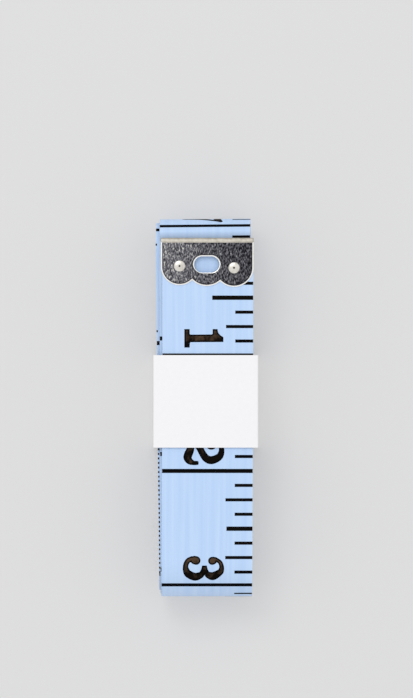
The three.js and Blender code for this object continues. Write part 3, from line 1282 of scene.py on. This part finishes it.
@dataclass
class FatFace:
    """The numerals: a fat face with slab serifs and ball terminals, nine millimetres high."""

    height: float = 9.0
    margin: float = 0.4
    pitch: float = 0.07
    tolerance: float = 0.012
    rim: float = 0.32
    designs: dict[str, Numeral] = field(init=False)
    loops: dict[str, tuple[list[Loop], list[Loop]]] = field(init=False)

    def __post_init__(self) -> None:
        """Draws the ten numerals and reads their outlines, and those of what their rims enclose."""
        self.designs, self.loops = self._draw(), {}
        for name, numeral in self.designs.items():
            drawn = Contoured(
                numeral.distance, (-self.margin, -self.margin),
                (numeral.width + self.margin, self.height + self.margin), self.pitch, self.tolerance,
            )
            self.loops[name] = (drawn.loops(), drawn.loops(-self.rim))

    def _draw(self) -> dict[str, Numeral]:
        """Draws each numeral from strokes and slabs.

        Returns:
            The numerals by name.
        """
        one = Numeral(4.5, (
            Slab((
                (0, -0.07), (4.07, -0.07), (4.07, 1.1), (3.05, 1.14), (2.88, 1.35), (2.84, 8.52),
                (1.78, 8.52), (1.34, 7.82), (0.94, 7.47), (0.6, 7.32), (0, 7.24), (0, 6.16),
                (0.98, 6.16), (1.18, 5.98), (1.22, 1.3), (1.06, 1.1), (0, 1.1),
            )),
        ))
        two = Numeral(5.5, (
            Stroke(((1.14, 5.83, 1.95), (1.14, 6.05, 1.95))),
            Stroke((
                (0.45, 6.6, 0.8), (0.9, 7.7, 0.95), (2.2, 8.22, 1.2), (3.65, 7.72, 1.55),
                (4.42, 6.1, 1.78), (4.05, 4.85, 1.66), (2.9, 4.0, 1.52), (1.75, 3.35, 1.45),
                (0.8, 2.4, 1.1), (0.5, 1.1, 1.0),
            )),
            Stroke((
                (0.5, 1.0, 1.0), (1.35, 1.35, 1.5), (2.2, 1.3, 1.7), (3.0, 0.95, 1.85),
                (3.85, 0.72, 1.8), (4.6, 1.15, 1.5), (5.02, 2.0, 1.0), (5.05, 2.75, 0.88),
            )),
            Slab(((4.58, 2.4), (5.5, 2.4), (5.46, 3.12), (4.64, 3.12))),
        ))
        three = Numeral(5.5, (
            Stroke(((1.0, 2.34, 1.86), (1.1, 2.72, 1.88))),
            Stroke((
                (0.72, 1.75, 1.14), (1.1, 0.98, 1.15), (1.8, 0.52, 1.14), (2.6, 0.38, 1.2),
                (3.3, 0.54, 1.46), (4.06, 1.02, 1.7), (4.72, 2.38, 1.87), (4.46, 3.4, 1.62),
                (4.1, 3.98, 1.24), (3.5, 4.35, 0.9),
            )),
            Slab((
                (2.2, 4.03), (2.2, 5.06), (3.0, 5.24), (3.6, 5.6), (4.06, 4.58), (3.6, 3.5), (3.0, 3.84),
            )),
            Stroke(((1.17, 6.22, 1.76), (1.13, 6.42, 1.72))),
            Stroke((
                (0.82, 6.9, 0.98), (1.3, 7.76, 0.9), (1.85, 8.16, 0.96), (2.6, 8.32, 1.05),
                (3.2, 8.22, 1.26), (3.72, 7.9, 1.44), (4.56, 6.5, 1.87), (4.38, 5.62, 1.6),
                (4.1, 5.16, 1.24), (3.5, 4.8, 0.9),
            )),
        ))
        four = Numeral(5.7, (
            Stroke(((3.9, 8.6, 0.75), (2.3, 5.9, 0.75), (0.45, 2.75, 0.75))),
            Slab(((0.1, 2.35), (5.6, 2.35), (5.6, 3.2), (0.1, 3.2))),
            Slab(((3.1, 0), (4.8, 0), (4.8, 9.0), (3.6, 9.0), (3.1, 8.2))),
            Slab(((2.2, 0), (5.6, 0), (5.6, 0.85), (2.2, 0.85))),
        ))
        five = Numeral(5.5, (
            Slab(((0.95, 4.7), (1.65, 4.9), (1.65, 9.0), (0.95, 9.0))),
            Stroke(((1.3, 8.4, 1.1), (2.6, 8.2, 1.5), (3.8, 8.35, 1.2), (4.6, 8.8, 0.5))),
            Stroke((
                (1.25, 4.85, 0.6), (2.4, 5.35, 0.9), (3.7, 4.9, 1.35), (4.58, 3.0, 1.75),
                (3.7, 1.0, 1.35), (2.3, 0.5, 1.0), (1.0, 0.95, 0.85), (0.55, 2.0, 0.8),
            )),
            Stroke(((0.95, 2.15, 1.8), (0.95, 2.4, 1.8))),
        ))
        six = Numeral(5.6, (
            Stroke((
                (0.9, 3.0, 1.75), (1.3, 1.2, 1.3), (2.8, 0.42, 0.85), (4.25, 1.2, 1.3),
                (4.7, 2.9, 1.7), (4.2, 4.55, 1.25), (2.9, 5.25, 0.85), (1.5, 4.6, 1.1),
            ), True),
            Stroke((
                (0.88, 3.2, 1.72), (0.95, 5.3, 1.65), (1.6, 7.4, 1.3), (2.9, 8.55, 0.85),
                (4.2, 8.2, 0.75), (4.6, 7.5, 0.75),
            )),
            Stroke(((4.3, 7.1, 1.65), (4.3, 7.3, 1.65))),
        ))
        seven = Numeral(5.4, (
            Stroke(((0.35, 6.6, 0.6), (0.4, 7.6, 0.7), (0.75, 8.2, 1.0))),
            Stroke((
                (0.6, 8.2, 1.2), (1.8, 8.15, 1.65), (3.2, 7.75, 1.6), (4.6, 8.3, 1.2), (5.0, 8.7, 0.55),
            )),
            Stroke((
                (5.0, 8.6, 0.6), (4.1, 6.6, 0.9), (3.0, 4.4, 1.45), (2.45, 2.4, 1.9), (2.35, 0.95, 1.95),
            )),
        ))
        eight = Numeral(5.6, (
            Stroke((
                (0.9, 2.35, 1.6), (1.35, 0.95, 1.2), (2.8, 0.42, 0.85), (4.25, 0.95, 1.25),
                (4.75, 2.4, 1.6), (4.1, 3.95, 1.3), (2.8, 4.6, 0.95), (1.5, 3.9, 1.2),
            ), True),
            Stroke((
                (1.15, 6.85, 1.4), (1.55, 8.15, 1.1), (2.8, 8.6, 0.8), (4.05, 8.15, 1.1),
                (4.45, 6.85, 1.4), (3.9, 5.45, 1.15), (2.8, 4.9, 0.9), (1.7, 5.5, 1.15),
            ), True),
        ))
        nought = Numeral(5.6, (
            Stroke((
                (0.9, 4.5, 1.8), (1.3, 1.7, 1.4), (2.8, 0.42, 0.85), (4.3, 1.7, 1.4),
                (4.7, 4.5, 1.8), (4.3, 7.3, 1.4), (2.8, 8.58, 0.85), (1.3, 7.3, 1.4),
            ), True),
        ))
        return {
            "0": nought, "1": one, "2": two, "3": three, "4": four, "5": five, "6": six,
            "7": seven, "8": eight, "9": six.turned(self.height),
        }

    def set_line(
        self, text: str, scale: float, spacing: float
    ) -> tuple[list[list[list[Loop]]], float]:
        """Sets a number in a row.

        Args:
            text: its digits.
            scale: the size, as a share of the full height.
            spacing: the space between digits, at full height.

        Returns:
            Each digit's outlines and those within its rim (along, up) from the row's start, and the
            row's length.
        """
        placed, start = [], 0.0
        for digit in text:
            moved = [[(loop + [start, 0]) * scale for loop in loops] for loops in self.loops[digit]]
            placed.append(moved)
            start += self.designs[digit].width + spacing
        return placed, (start - spacing) * scale


@dataclass(frozen=True)
class Mark:
    """A mark across the tape: its place along it, its thickness and its reach in from the edge."""

    at: float
    thickness: float
    reach: float


@dataclass(frozen=True)
class MarkKind:
    """One kind of mark: it comes again after so many parts, and has a thickness and a reach."""

    every: int
    thickness: float
    reach: float


@dataclass(frozen=True)
class Scale:
    """A scale's marks, from the kind that comes least often to the one that takes what is left."""

    unit: float
    parts: int
    kinds: tuple[MarkKind, ...]
    faulty: tuple[tuple[int, float], ...] = ()  # single marks and how far these reach

    def marks(self, length: float) -> list[Mark]:
        """Lists the marks on a tape.

        Args:
            length: the tape's length.

        Returns:
            The marks, in order.
        """
        made, faulty = [], dict(self.faulty)
        for n in range(1, round(length / self.unit * self.parts)):
            kind = next(kind for kind in self.kinds if n % kind.every == 0)
            made.append(Mark(n * self.unit / self.parts, kind.thickness, faulty.get(n, kind.reach)))
        return made


# Eighths of an inch: the third inch's half is short, and the sixteenth inch's line is worn at its end
INCHES = Scale(
    INCH, 8,
    (MarkKind(8, 0.9, 20.0), MarkKind(4, 0.95, 9.0), MarkKind(2, 0.69, 5.97), MarkKind(1, 0.69, 3.94)),
    faulty=((20, 5.73), (128, 18.8)),
)
# Millimetres, with a longer mark at each half centimetre
CENTIMETRES = Scale(CENTIMETRE, 10, (MarkKind(10, 0.4, 8.0), MarkKind(5, 0.3, 5.4), MarkKind(1, 0.3, 3.6)))


@dataclass
class Print:
    """What is printed on one face of the tape: marks along one edge, and numbers before the long ones.

    Large numbers have a rim of thicker ink, which the roller squeezed out to their edges.
    """

    hank: Hank
    face: Face
    type_face: FatFace
    scale: Scale
    number_size: float
    number_foot: float
    squeezed: bool
    number_gap: float = 1.3
    number_spacing: float = 0.55
    film: float = 0.012
    sunk: float = 0.004
    edge_margin: float = 0.03
    cut_margin: float = 1.0
    bare_ends: float = 8.4
    number_bare_ends: float = 10.5
    smears: tuple[tuple[float, float], ...] = ()
    smear_reach: float = 0.3
    smear_thickness: float = 0.45
    smear_creep: float = 0.385

    def _inked(self, sheet: Sheet, thin: Sequence[Loop] = ()) -> Solid:
        """Makes ink that is sunk a little into the face.

        Args:
            sheet: where it lies.
            thin: the loops within which its film is thinner than where it was squeezed out.

        Returns:
            The ink.
        """
        face = self.hank.thickness / 2
        middles = np.array([sheet.points[list(corners)].mean(axis=0) for corners in sheet.faces])
        patches = np.where(within(middles, thin), Patch.SHEET.value, Patch.RIM.value)
        return sheet.thickened(face - self.sunk, face + self.film, patches)

    def _bar(self, at: float, thickness: float, left: float, right: float) -> Sheet:
        """Draws a bar across the tape, cut where the tape bends.

        Args:
            at: the place of its middle along the tape.
            thickness: how far it goes along the tape.
            left: where it starts across the tape.
            right: where it ends.

        Returns:
            The sheet.
        """
        start, end = at - thickness / 2, at + thickness / 2
        return Sheet.strip((left, right), [start, *self.hank.stations(start, end), end])

    def _mark(self, mark: Mark) -> Solid:
        """Prints one mark."""
        right = self.hank.width / 2 - self.edge_margin
        return self._inked(self._bar(mark.at, mark.thickness, max(right - mark.reach, -right), right))

    def _smear(self, mark: Mark) -> Solid:
        """Makes the ink that has crept round the tape's edge to the other face.

        Args:
            mark: the mark that it comes from.

        Returns:
            The ink.
        """
        half, height = self.hank.width / 2 + self.film, self.hank.thickness / 2 + self.film
        at = mark.at + self.smear_creep
        sheet = self._bar(at, self.smear_thickness, half - self.smear_reach, half)
        return sheet.thickened(-height, height, np.full(len(sheet.faces), Patch.RIM.value))

    def _number(self, number: int, at: float) -> list[Solid]:
        """Prints a number that ends just before its mark and reads along the tape.

        Args:
            number: the number.
            at: the place of its mark.

        Returns:
            Its digits.
        """
        digits, length = self.type_face.set_line(str(number), self.number_size, self.number_spacing)
        start = at - self.number_gap * self.number_size - length
        solids = []
        for digit in digits:
            outline, enclosed = (
                [np.column_stack([self.number_foot + loop[:, 1], start + loop[:, 0]]) for loop in loops]
                for loops in digit
            )
            corners = np.concatenate(outline)
            (left, low), (right, high) = corners.min(axis=0), corners.max(axis=0)
            cuts = [
                np.array([(left - self.cut_margin, s), (right + self.cut_margin, s)])
                for s in self.hank.stations(low, high)
            ]
            contours, thin = (enclosed, enclosed) if self.squeezed else ([], outline)
            solids.append(self._inked(cut_out(outline, contours, cuts), thin))
        return solids

    def build(self, stem: str, mark_ink: Material, number_ink: Material) -> list[Piece]:
        """Builds and dresses the print, apart from what a tip would cover.

        Args:
            stem: the start of the pieces' names.
            mark_ink: the finish of the marks and of the numbers' rims.
            number_ink: the finish of the numbers within their rims.

        Returns:
            The print on the free end and the print on the wound tape.
        """
        hank, unit = self.hank, self.scale.unit
        solids = {Body.FREE_END: [], Body.WINDING: []}
        for mark in self.scale.marks(hank.length):
            if self.bare_ends < mark.at < hank.length - self.bare_ends:
                body = Body.FREE_END if mark.at < hank.split_at else Body.WINDING
                solids[body].append(self._mark(mark))
                if any(start < mark.at < end for start, end in self.smears):
                    solids[body].append(self._smear(mark))
        for number in range(1, int((hank.length - self.number_bare_ends) / unit) + 1):
            at = number * unit
            if at > self.number_bare_ends:
                body = Body.FREE_END if at - self.number_gap < hank.split_at else Body.WINDING
                solids[body] += self._number(number, at)
        pieces = []
        for body, parts in solids.items():
            whole = Solid.together(parts)
            places = hank.place(whole.corners, self.face)
            pieces.append(make_piece(f"{stem}_{body.value}", whole, places, [number_ink, mark_ink]))
        return pieces


# The tips


@dataclass
class MetalTip:
    """A stamped strip, folded over a cut end of the tape and riveted through it."""

    name: str
    body: Body
    cut_end: np.ndarray
    points_up: bool
    shape: TipShape
    tape_thickness: float = 0.35
    clearance: float = 0.02
    plate: float = 0.25
    nose: float = 1.05
    rim: float = 0.3
    rim_shares: tuple[float, ...] = (0.0, 0.12, 0.3, 0.6, 1.0)
    rim_drop: float = 0.15
    # How far in from the rims the band of painted shade reaches
    grime: float = 0.2
    squaring: float = 1.0
    squaring_shares: tuple[float, ...] = (0.25, 0.5, 1.0)
    fold_steps: int = 8
    outline_pitch: float = 0.1
    outline_margin: int = 3
    outline_tolerance: float = 0.004
    rivet_shank: float = 0.6
    rivet_lip: float = 0.55
    rivet_head: float = 0.3
    rivet_foot_angle: float = 0.12
    rivet_pit: float = 0.22
    rivet_pit_depth: float = 0.12
    rivet_pit_shares: tuple[float, ...] = (0.8, 0.5)
    rivet_tail_lip: float = 0.35
    rivet_tail: float = 0.2
    rivet_sides: int = 56
    rivet_steps: int = 14
    rivet_smooth_angle: float = 30.0

    @property
    def inner(self) -> float:
        """From the tape's middle to the plate's inner face."""
        return self.tape_thickness / 2 + self.clearance

    @property
    def outer(self) -> float:
        """From the tape's middle to the plate's outer face."""
        return self.inner + self.plate

    @property
    def nose_foot(self) -> float:
        """From the tape's cut end up to where the fold starts."""
        return self.clearance + self.outer - self.nose

    def _distance(self, across: np.ndarray, strip: np.ndarray) -> np.ndarray:
        """The distance from the outline of the strip before it is folded."""
        return self.shape.plate(across, np.abs(strip) - self.nose - self.nose_foot)

    def _folded(self, corners: np.ndarray) -> np.ndarray:
        """Folds the strip over the cut end.

        Args:
            corners: (across, along the strip, share of the plate's thickness) of each corner.

        Returns:
            (across, up from the cut end, height from the tape's middle) of each corner.
        """
        across, strip, share = corners.T
        turned = (strip / self.nose).clip(-1, 1) * math.pi / 2
        beyond = np.maximum(np.abs(strip) - self.nose, 0)
        outer_y = self.nose_foot + self.nose * np.cos(turned) - beyond
        # The inner face starts nearer the cut end, and is level with the outer one a little further on
        lead = (self.clearance - self.nose_foot) * (1 - smoothstep(beyond / self.squaring))
        inner_y = np.where(
            beyond > 0, self.nose_foot - beyond + lead, self.clearance + self.inner * np.cos(turned)
        )
        y = inner_y + (outer_y - inner_y) * share
        z = (self.inner + (self.outer - self.inner) * share) * np.sin(turned)
        return np.column_stack([across, y, z])

    def _placed(self, corners: np.ndarray) -> np.ndarray:
        """Places corners of the tip's own frame on the tape's end, in metres."""
        turn = 1 if self.points_up else -1
        return (corners * [turn, turn, 1] + self.cut_end) * MM

    def build_plate(self, finishes: TipFinishes) -> Piece:
        """Builds the folded strip with its rolled-over sheared edges.

        Args:
            finishes: those of its faces, of its edges painted white as a highlight, of the painted shade
                beside them, and of its fold painted pale as a highlight.

        Returns:
            The piece.
        """
        margin, nose = self.outline_pitch * self.outline_margin, self.nose
        half = self.shape.width / 2 + abs(self.shape.offset) + margin
        reach = self.shape.reach + nose + margin
        blank = Contoured(
            self._distance, (-half, -reach), (half, reach), self.outline_pitch, self.outline_tolerance
        )
        shares = np.array(self.rim_shares)
        levels = [*(-self.rim * shares[1:]), -self.rim - self.grime]
        contours = [loop for level in levels for loop in blank.loops(level)]
        beyond = [nose + self.squaring * share for share in self.squaring_shares]
        folds = [
            np.array([(-half, strip), (half, strip)])
            for strip in [
                *np.linspace(-nose, nose, 2 * self.fold_steps + 1), *(-place for place in beyond), *beyond
            ]
        ]
        sheet = cut_out(blank.loops(), contours, folds)
        depth = -self._distance(sheet.points[:, 0], sheet.points[:, 1])
        nearest = shares[np.abs((depth[:, None] / self.rim).clip(0, 1) - shares).argmin(axis=1)]
        drop = self.rim_drop / self.plate * (1 - np.sqrt(1 - (1 - nearest) ** 2))
        # The fold and the rims are painted as highlights, and a band just inside the rims is dark as
        # painted shade
        marked = {
            Patch.FOLD: np.abs(sheet.points[:, 1]) < nose - AT_EDGE,
            Patch.RIM: nearest < 1,
            Patch.GRIME: depth < self.rim + self.grime / 2,
        }
        patches = np.select(
            [sheet.touching(points) for points in marked.values()], [patch.value for patch in marked],
            Patch.SHEET.value,
        )
        solid = sheet.thickened(0.0, 1 - drop, patches)
        dressed = [finishes.plate, finishes.edge, finishes.grime, finishes.fold]
        piece = make_piece(f"{self.name}_plate", solid, self._placed(self._folded(solid.corners)), dressed)
        return take_place(piece, self.body, self.name)

    def _rivet_profile(self) -> list[tuple[float, float]]:
        """Draws half of the rivet's section, from the middle of its tail to that of its punch mark.

        Returns:
            Its points, each as the distance from the rivet's axis and the height.
        """
        head = self.shape.hole_radius + self.rivet_lip
        tail = self.shape.hole_radius + self.rivet_tail_lip
        soft, shank, top = self.rivet_tail / 2, self.rivet_shank, self.outer + self.rivet_head
        profile = [(0.0, -self.outer - self.rivet_tail)]
        for turned in np.linspace(-math.pi / 2, 0, self.rivet_steps // 2):
            rounding = (soft * math.cos(turned), soft * math.sin(turned))
            profile.append((tail - soft + rounding[0], -self.outer - soft + rounding[1]))
        profile += [(tail, -self.outer), (shank, -self.outer), (shank, self.outer), (head, self.outer)]
        for turned in np.linspace(self.rivet_foot_angle, math.pi / 2, self.rivet_steps):
            radius = self.rivet_pit + (head - self.rivet_pit) * math.cos(turned)
            profile.append((radius, self.outer + self.rivet_head * math.sin(turned)))
        for share in self.rivet_pit_shares:
            profile.append((self.rivet_pit * share, top - self.rivet_pit_depth * (1 - share**2)))
        return [*profile, (0.0, top - self.rivet_pit_depth)]

    def build_rivet(self, side: Side, finishes: TipFinishes) -> Piece:
        """Builds a rivet: a domed head with a punch mark, a shank, and a tail flattened on the back.

        Args:
            side: which of the two.
            finishes: that of the rivet, and the painted shade in its punch mark.

        Returns:
            The piece.
        """
        foot, *rings, pit = self._rivet_profile()
        n = self.rivet_sides
        angles = np.linspace(0, 2 * math.pi, n, endpoint=False)
        corners = [(0.0, 0.0, foot[1])]
        corners += [(r * math.cos(a), r * math.sin(a), z) for r, z in rings for a in angles]
        corners.append((0.0, 0.0, pit[1]))
        turn = [(i, (i + 1) % n) for i in range(n)]
        starts = [1 + ring * n for ring in range(len(rings))]
        faces = [(0, 1 + j, 1 + i) for i, j in turn]
        faces += [(a + i, a + j, b + j, b + i) for a, b in zip(starts, starts[1:]) for i, j in turn]
        faces += [(starts[-1] + i, starts[-1] + j, len(corners) - 1) for i, j in turn]
        across, down = self.shape.rivet_place(side)
        moved = np.array(corners) + [across, -down, 0]
        # The punch mark is dark as painted shade
        in_pit = (len(self.rivet_pit_shares) + 1) * n
        solid = Solid(moved, faces, [0] * (len(faces) - in_pit) + [1] * in_pit)
        node = f"{self.name}_rivet_{side.name.lower()}"
        dressed = [finishes.rivet, finishes.grime]
        places = self._placed(moved)
        piece = make_piece(f"{node}_domed", solid, places, dressed, self.rivet_smooth_angle)
        return take_place(piece, self.body, node)


# The band


@dataclass
class PaperBand:
    """A strip of paper, folded round the hank and glued to itself where its ends lap underneath."""

    paper: float = 0.2
    glue: float = 0.05
    fold_radius: float = 0.4
    outer_end_share: float = -0.35
    inner_end_share: float = 0.22
    corner_steps: int = 12
    side_steps: int = 12
    edge_steps: int = 10
    longest_step: float = 2.0
    sway: float = 0.05
    sway_onset: float = 4.0
    sway_waves: float = 1.5
    sway_start: float = 0.4
    sway_change: float = 0.5
    level: float = 0.999
    low: np.ndarray = field(init=False)
    high: np.ndarray = field(init=False)

    def __post_init__(self) -> None:
        """Takes the box that the band fills from the CAD."""
        self.low, self.high = (np.array(corner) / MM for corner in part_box("paper_band"))

    def _section(self) -> np.ndarray:
        """Draws the line that the strip's middle follows, from its outer end to its inner end.

        Returns:
            Its points, each as x, z, and the way out, x and z.
        """
        half, top, step = (self.high[0] - self.low[0]) / 2, self.high[2], self.paper + self.glue
        corners = [
            (half - self.fold_radius, self.fold_radius, -90),
            (half - self.fold_radius, top - self.fold_radius, 0),
            (self.fold_radius - half, top - self.fold_radius, 90),
            (self.fold_radius - half, step + self.fold_radius, 180),
        ]
        radius = self.fold_radius - self.paper / 2
        stations = [(2 * half * self.outer_end_share, self.paper / 2, 0.0, -1.0)]
        for x, z, start in corners:
            for turned in np.radians(np.linspace(start, start + 90, self.corner_steps)):
                out_x, out_z = math.cos(turned), math.sin(turned)
                stations.append((x + radius * out_x, z + radius * out_z, out_x, out_z))
        stations.append((2 * half * self.inner_end_share, step + self.paper / 2, 0.0, -1.0))
        # Long straight stretches get stations of their own, so that the paper can sway there
        dense = [stations[0]]
        for before, after in zip(stations, stations[1:]):
            stretch = math.hypot(after[0] - before[0], after[1] - before[1])
            steps = self.side_steps if stretch > self.longest_step else 1
            for i in range(1, steps + 1):
                dense.append(tuple(a + (b - a) * i / steps for a, b in zip(before, after)))
        return np.array(dense)

    def build(self, paper: Material) -> Piece:
        """Builds and dresses the band.

        Args:
            paper: its finish.

        Returns:
            The piece.
        """
        low, high, section = self.low, self.high, self._section()
        lengths = np.hypot(*np.diff(section[:, :2], axis=0).T)
        along = np.concatenate([[0], np.cumsum(lengths)])
        sheet = Sheet.strip(np.linspace(low[1], high[1], self.edge_steps + 1), along)
        solid = sheet.thickened(-self.paper / 2, self.paper / 2)
        y, s, height = solid.corners.T
        x, z, out_x, out_z = (np.interp(s, along, section[:, axis]) for axis in range(4))
        # The free span over the hank is drawn in by a few hundredths between the folds
        above = smoothstep((z / high[2] - 0.5) * self.sway_onset) * (out_z > self.level)
        span = np.cos(math.pi * x / (high[0] - low[0])) ** 2
        across = np.sin(math.pi * (y - low[1]) / (high[1] - low[1]) * self.sway_waves + self.sway_start)
        lift = -self.sway * above * span * (1 + self.sway_change * across)
        centre = (low[0] + high[0]) / 2
        places = np.column_stack([centre + x + height * out_x, y, z + height * out_z + lift]) * MM
        piece = make_piece("paper_sleeve", solid, places, [paper])
        take_place(piece, Body.BAND, "paper_band")
        return piece


# The studio


@dataclass
class Studio:
    """A pale floor, soft light and a camera straight above, far off behind a long lens."""

    frame_height: float = 698.0
    pixels_per_mm: float = 4.547
    aim: tuple[float, float, float] = (0.154, 12.92, 15.62)
    distance: float = 4000.0
    nearest: float = 10.0
    farthest: float = 20000.0
    sensor: float = 36.0
    floor_colour: str = "#DCDCDC"
    floor_roughness: float = 0.9
    floor_gloss: float = 0.1
    floor_size: float = 6000.0
    floor_gap: float = 0.02
    floor_shade: float = 0.5
    sky_strength: float = 0.95
    sky_colour: str = "#F9F9FA"
    backdrop_colour: str = "#F0F0F0"
    lamp_size: float = 500.0
    lamp_power: float = 2.2
    lamp_place: tuple[float, float, float] = (-260.0, 520.0, 900.0)

    def build(self) -> None:
        """Makes the floor, the light and the camera."""
        scene = bpy.context.scene
        scene.view_settings.view_transform = "Standard"
        self._floor()
        self._light()
        camera = bpy.data.cameras.new("camera")
        camera.sensor_width = self.sensor
        camera.lens = self.sensor * self.distance / (self.frame_height / self.pixels_per_mm)
        camera.clip_start, camera.clip_end = self.nearest * MM, self.farthest * MM
        scene.camera = put("camera", camera)
        scene.camera.location = (np.array(self.aim) + [0, 0, self.distance]) * MM

    def _floor(self) -> None:
        """Lays the floor just below the band."""
        material, tree = new_material("matt_studio_card")
        card = add_node(
            tree, "ShaderNodeBsdfPrincipled",
            {"Base Color": linear(self.floor_colour), "Roughness": self.floor_roughness,
             "Specular IOR Level": self.floor_gloss},
        )
        # The camera sees the card's own colour mixed with its light and shade, which softens the shadow
        plain = add_node(tree, "ShaderNodeEmission", {"Color": linear(self.floor_colour)})
        path = add_node(tree, "ShaderNodeLightPath")
        share = add_node(
            tree, "ShaderNodeMath", {"operation": "MULTIPLY", 1: 1 - self.floor_shade},
            {0: path.outputs["Is Camera Ray"]},
        )
        seen = add_node(tree, "ShaderNodeMixShader", None, {0: share, 1: card, 2: plain})
        add_node(tree, "ShaderNodeOutputMaterial", None, {"Surface": seen})
        half = self.floor_size / 2
        floor = Sheet.strip((-half, half), (-half, half))
        places = np.column_stack([floor.points, np.full(len(floor.points), -self.floor_gap)]) * MM
        mesh = bpy.data.meshes.new("floor")
        mesh.from_pydata(places.tolist(), [], floor.faces)
        mesh.materials.append(material)
        put("floor", mesh)

    def _light(self) -> None:
        """Lights the scene with an even sky and one large soft lamp from the upper left."""
        world = bpy.data.worlds.new("studio")
        world.use_nodes = True
        tree = world.node_tree
        tree.nodes.clear()
        sky, backdrop = (
            add_node(tree, "ShaderNodeBackground", {"Color": linear(colour), "Strength": strength})
            for colour, strength in ((self.sky_colour, self.sky_strength), (self.backdrop_colour, 1.0))
        )
        # The camera, metal and gloss see the pale backdrop, and the rest gets the sky's light
        path = add_node(tree, "ShaderNodeLightPath")
        direct = path.outputs["Is Camera Ray"]
        for ray in ("Is Glossy Ray", "Is Transmission Ray"):
            direct = add_node(
                tree, "ShaderNodeMath", {"operation": "MAXIMUM"}, {0: direct, 1: path.outputs[ray]}
            )
        shown = add_node(tree, "ShaderNodeMixShader", None, {0: direct, 1: sky, 2: backdrop})
        add_node(tree, "ShaderNodeOutputWorld", None, {"Surface": shown})
        bpy.context.scene.world = world
        lamp = bpy.data.lights.new("soft_lamp", "AREA")
        lamp.shape = "DISK"
        lamp.size = self.lamp_size * MM
        lamp.energy = self.lamp_power
        place, holder = Vector(self.lamp_place), put("soft_lamp", lamp)
        holder.location = place * MM
        holder.rotation_euler = (-place).to_track_quat("-Z", "Y").to_euler()


def hold_tape(cloth: list[Piece], prints: list[list[Piece]]) -> None:
    """Bakes where the free end's pieces lie into their meshes, and lets the wound tape and its print ride
    on the winding.

    Args:
        cloth: the free end and the wound tape.
        prints: for each face, the print on the free end and that on the wound tape.
    """
    for free, wound in [cloth, *prints]:
        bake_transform(free)
        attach(wound, Body.WINDING.value)


def main() -> None:
    """Builds the tape measure and its studio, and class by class."""
    logging.basicConfig(level=logging.INFO, format="%(name)s: %(message)s")
    hank, shape, numerals = Hank(), TipShape(), FatFace()
    cloth = ClothTape(hank, shape).build(CoatedCloth().material(), SlitEdge().material())
    mark_ink = PrintedInk("black_vinyl_ink", "#010103", "#0A0705").material()
    inch_ink, metric_ink = (
        PrintedInk(name, "#0B0603", "#4F3E2F", 2 * pitch).material()
        for name, pitch in (("brown_vinyl_ink_inches", INCH), ("brown_vinyl_ink_centimetres", CENTIMETRE))
    )
    inch = Print(hank, Face.INCH, numerals, INCHES, number_size=1.0, number_foot=-5.1, squeezed=True)
    metric = Print(
        hank, Face.METRIC, numerals, CENTIMETRES, number_size=0.5, number_foot=-2.6, squeezed=False,
        smears=((358.5, 359.5), (377.5, 378.5), (403.5, 431.5)),
    )
    prints = [
        inch.build("inch_print", mark_ink, inch_ink),
        metric.build("metric_print", mark_ink, metric_ink),
    ]
    tip_finishes = TipFinishes(
        plate=TinPlate().material(),
        # Painted highlights on the edges and the fold, and painted shade beside the edges and in the punch
        # marks
        edge=BareTin("burnished_tin_edge", "#FFFFFF", "#F4F1EA").material(),
        grime=BareTin("tin_painted_dark_as_shade", "#2A292E", "#3C3B40", roughness=0.5).material(),
        fold=BareTin("tin_fold_painted_pale_as_highlight", "#BDB8AE", "#A9A499", roughness=0.45).material(),
        rivet=BareTin("burnished_tin_rivet", "#E6E3DC", "#D6D2C9", roughness=0.34).material(),
    )
    for tip in (
        MetalTip("zero_tip", Body.FREE_END, hank.middle[0], True, shape),
        MetalTip("end_tip", Body.WINDING, hank.middle[-1], False, shape),
    ):
        tip.build_plate(tip_finishes)
        for side in Side:
            tip.build_rivet(side, tip_finishes)
    PaperBand().build(UncoatedPaper().material())
    hold_tape(cloth, prints)
    Studio().build()
    bpy.context.view_layer.update()


if __name__ == "__main__":
    main()
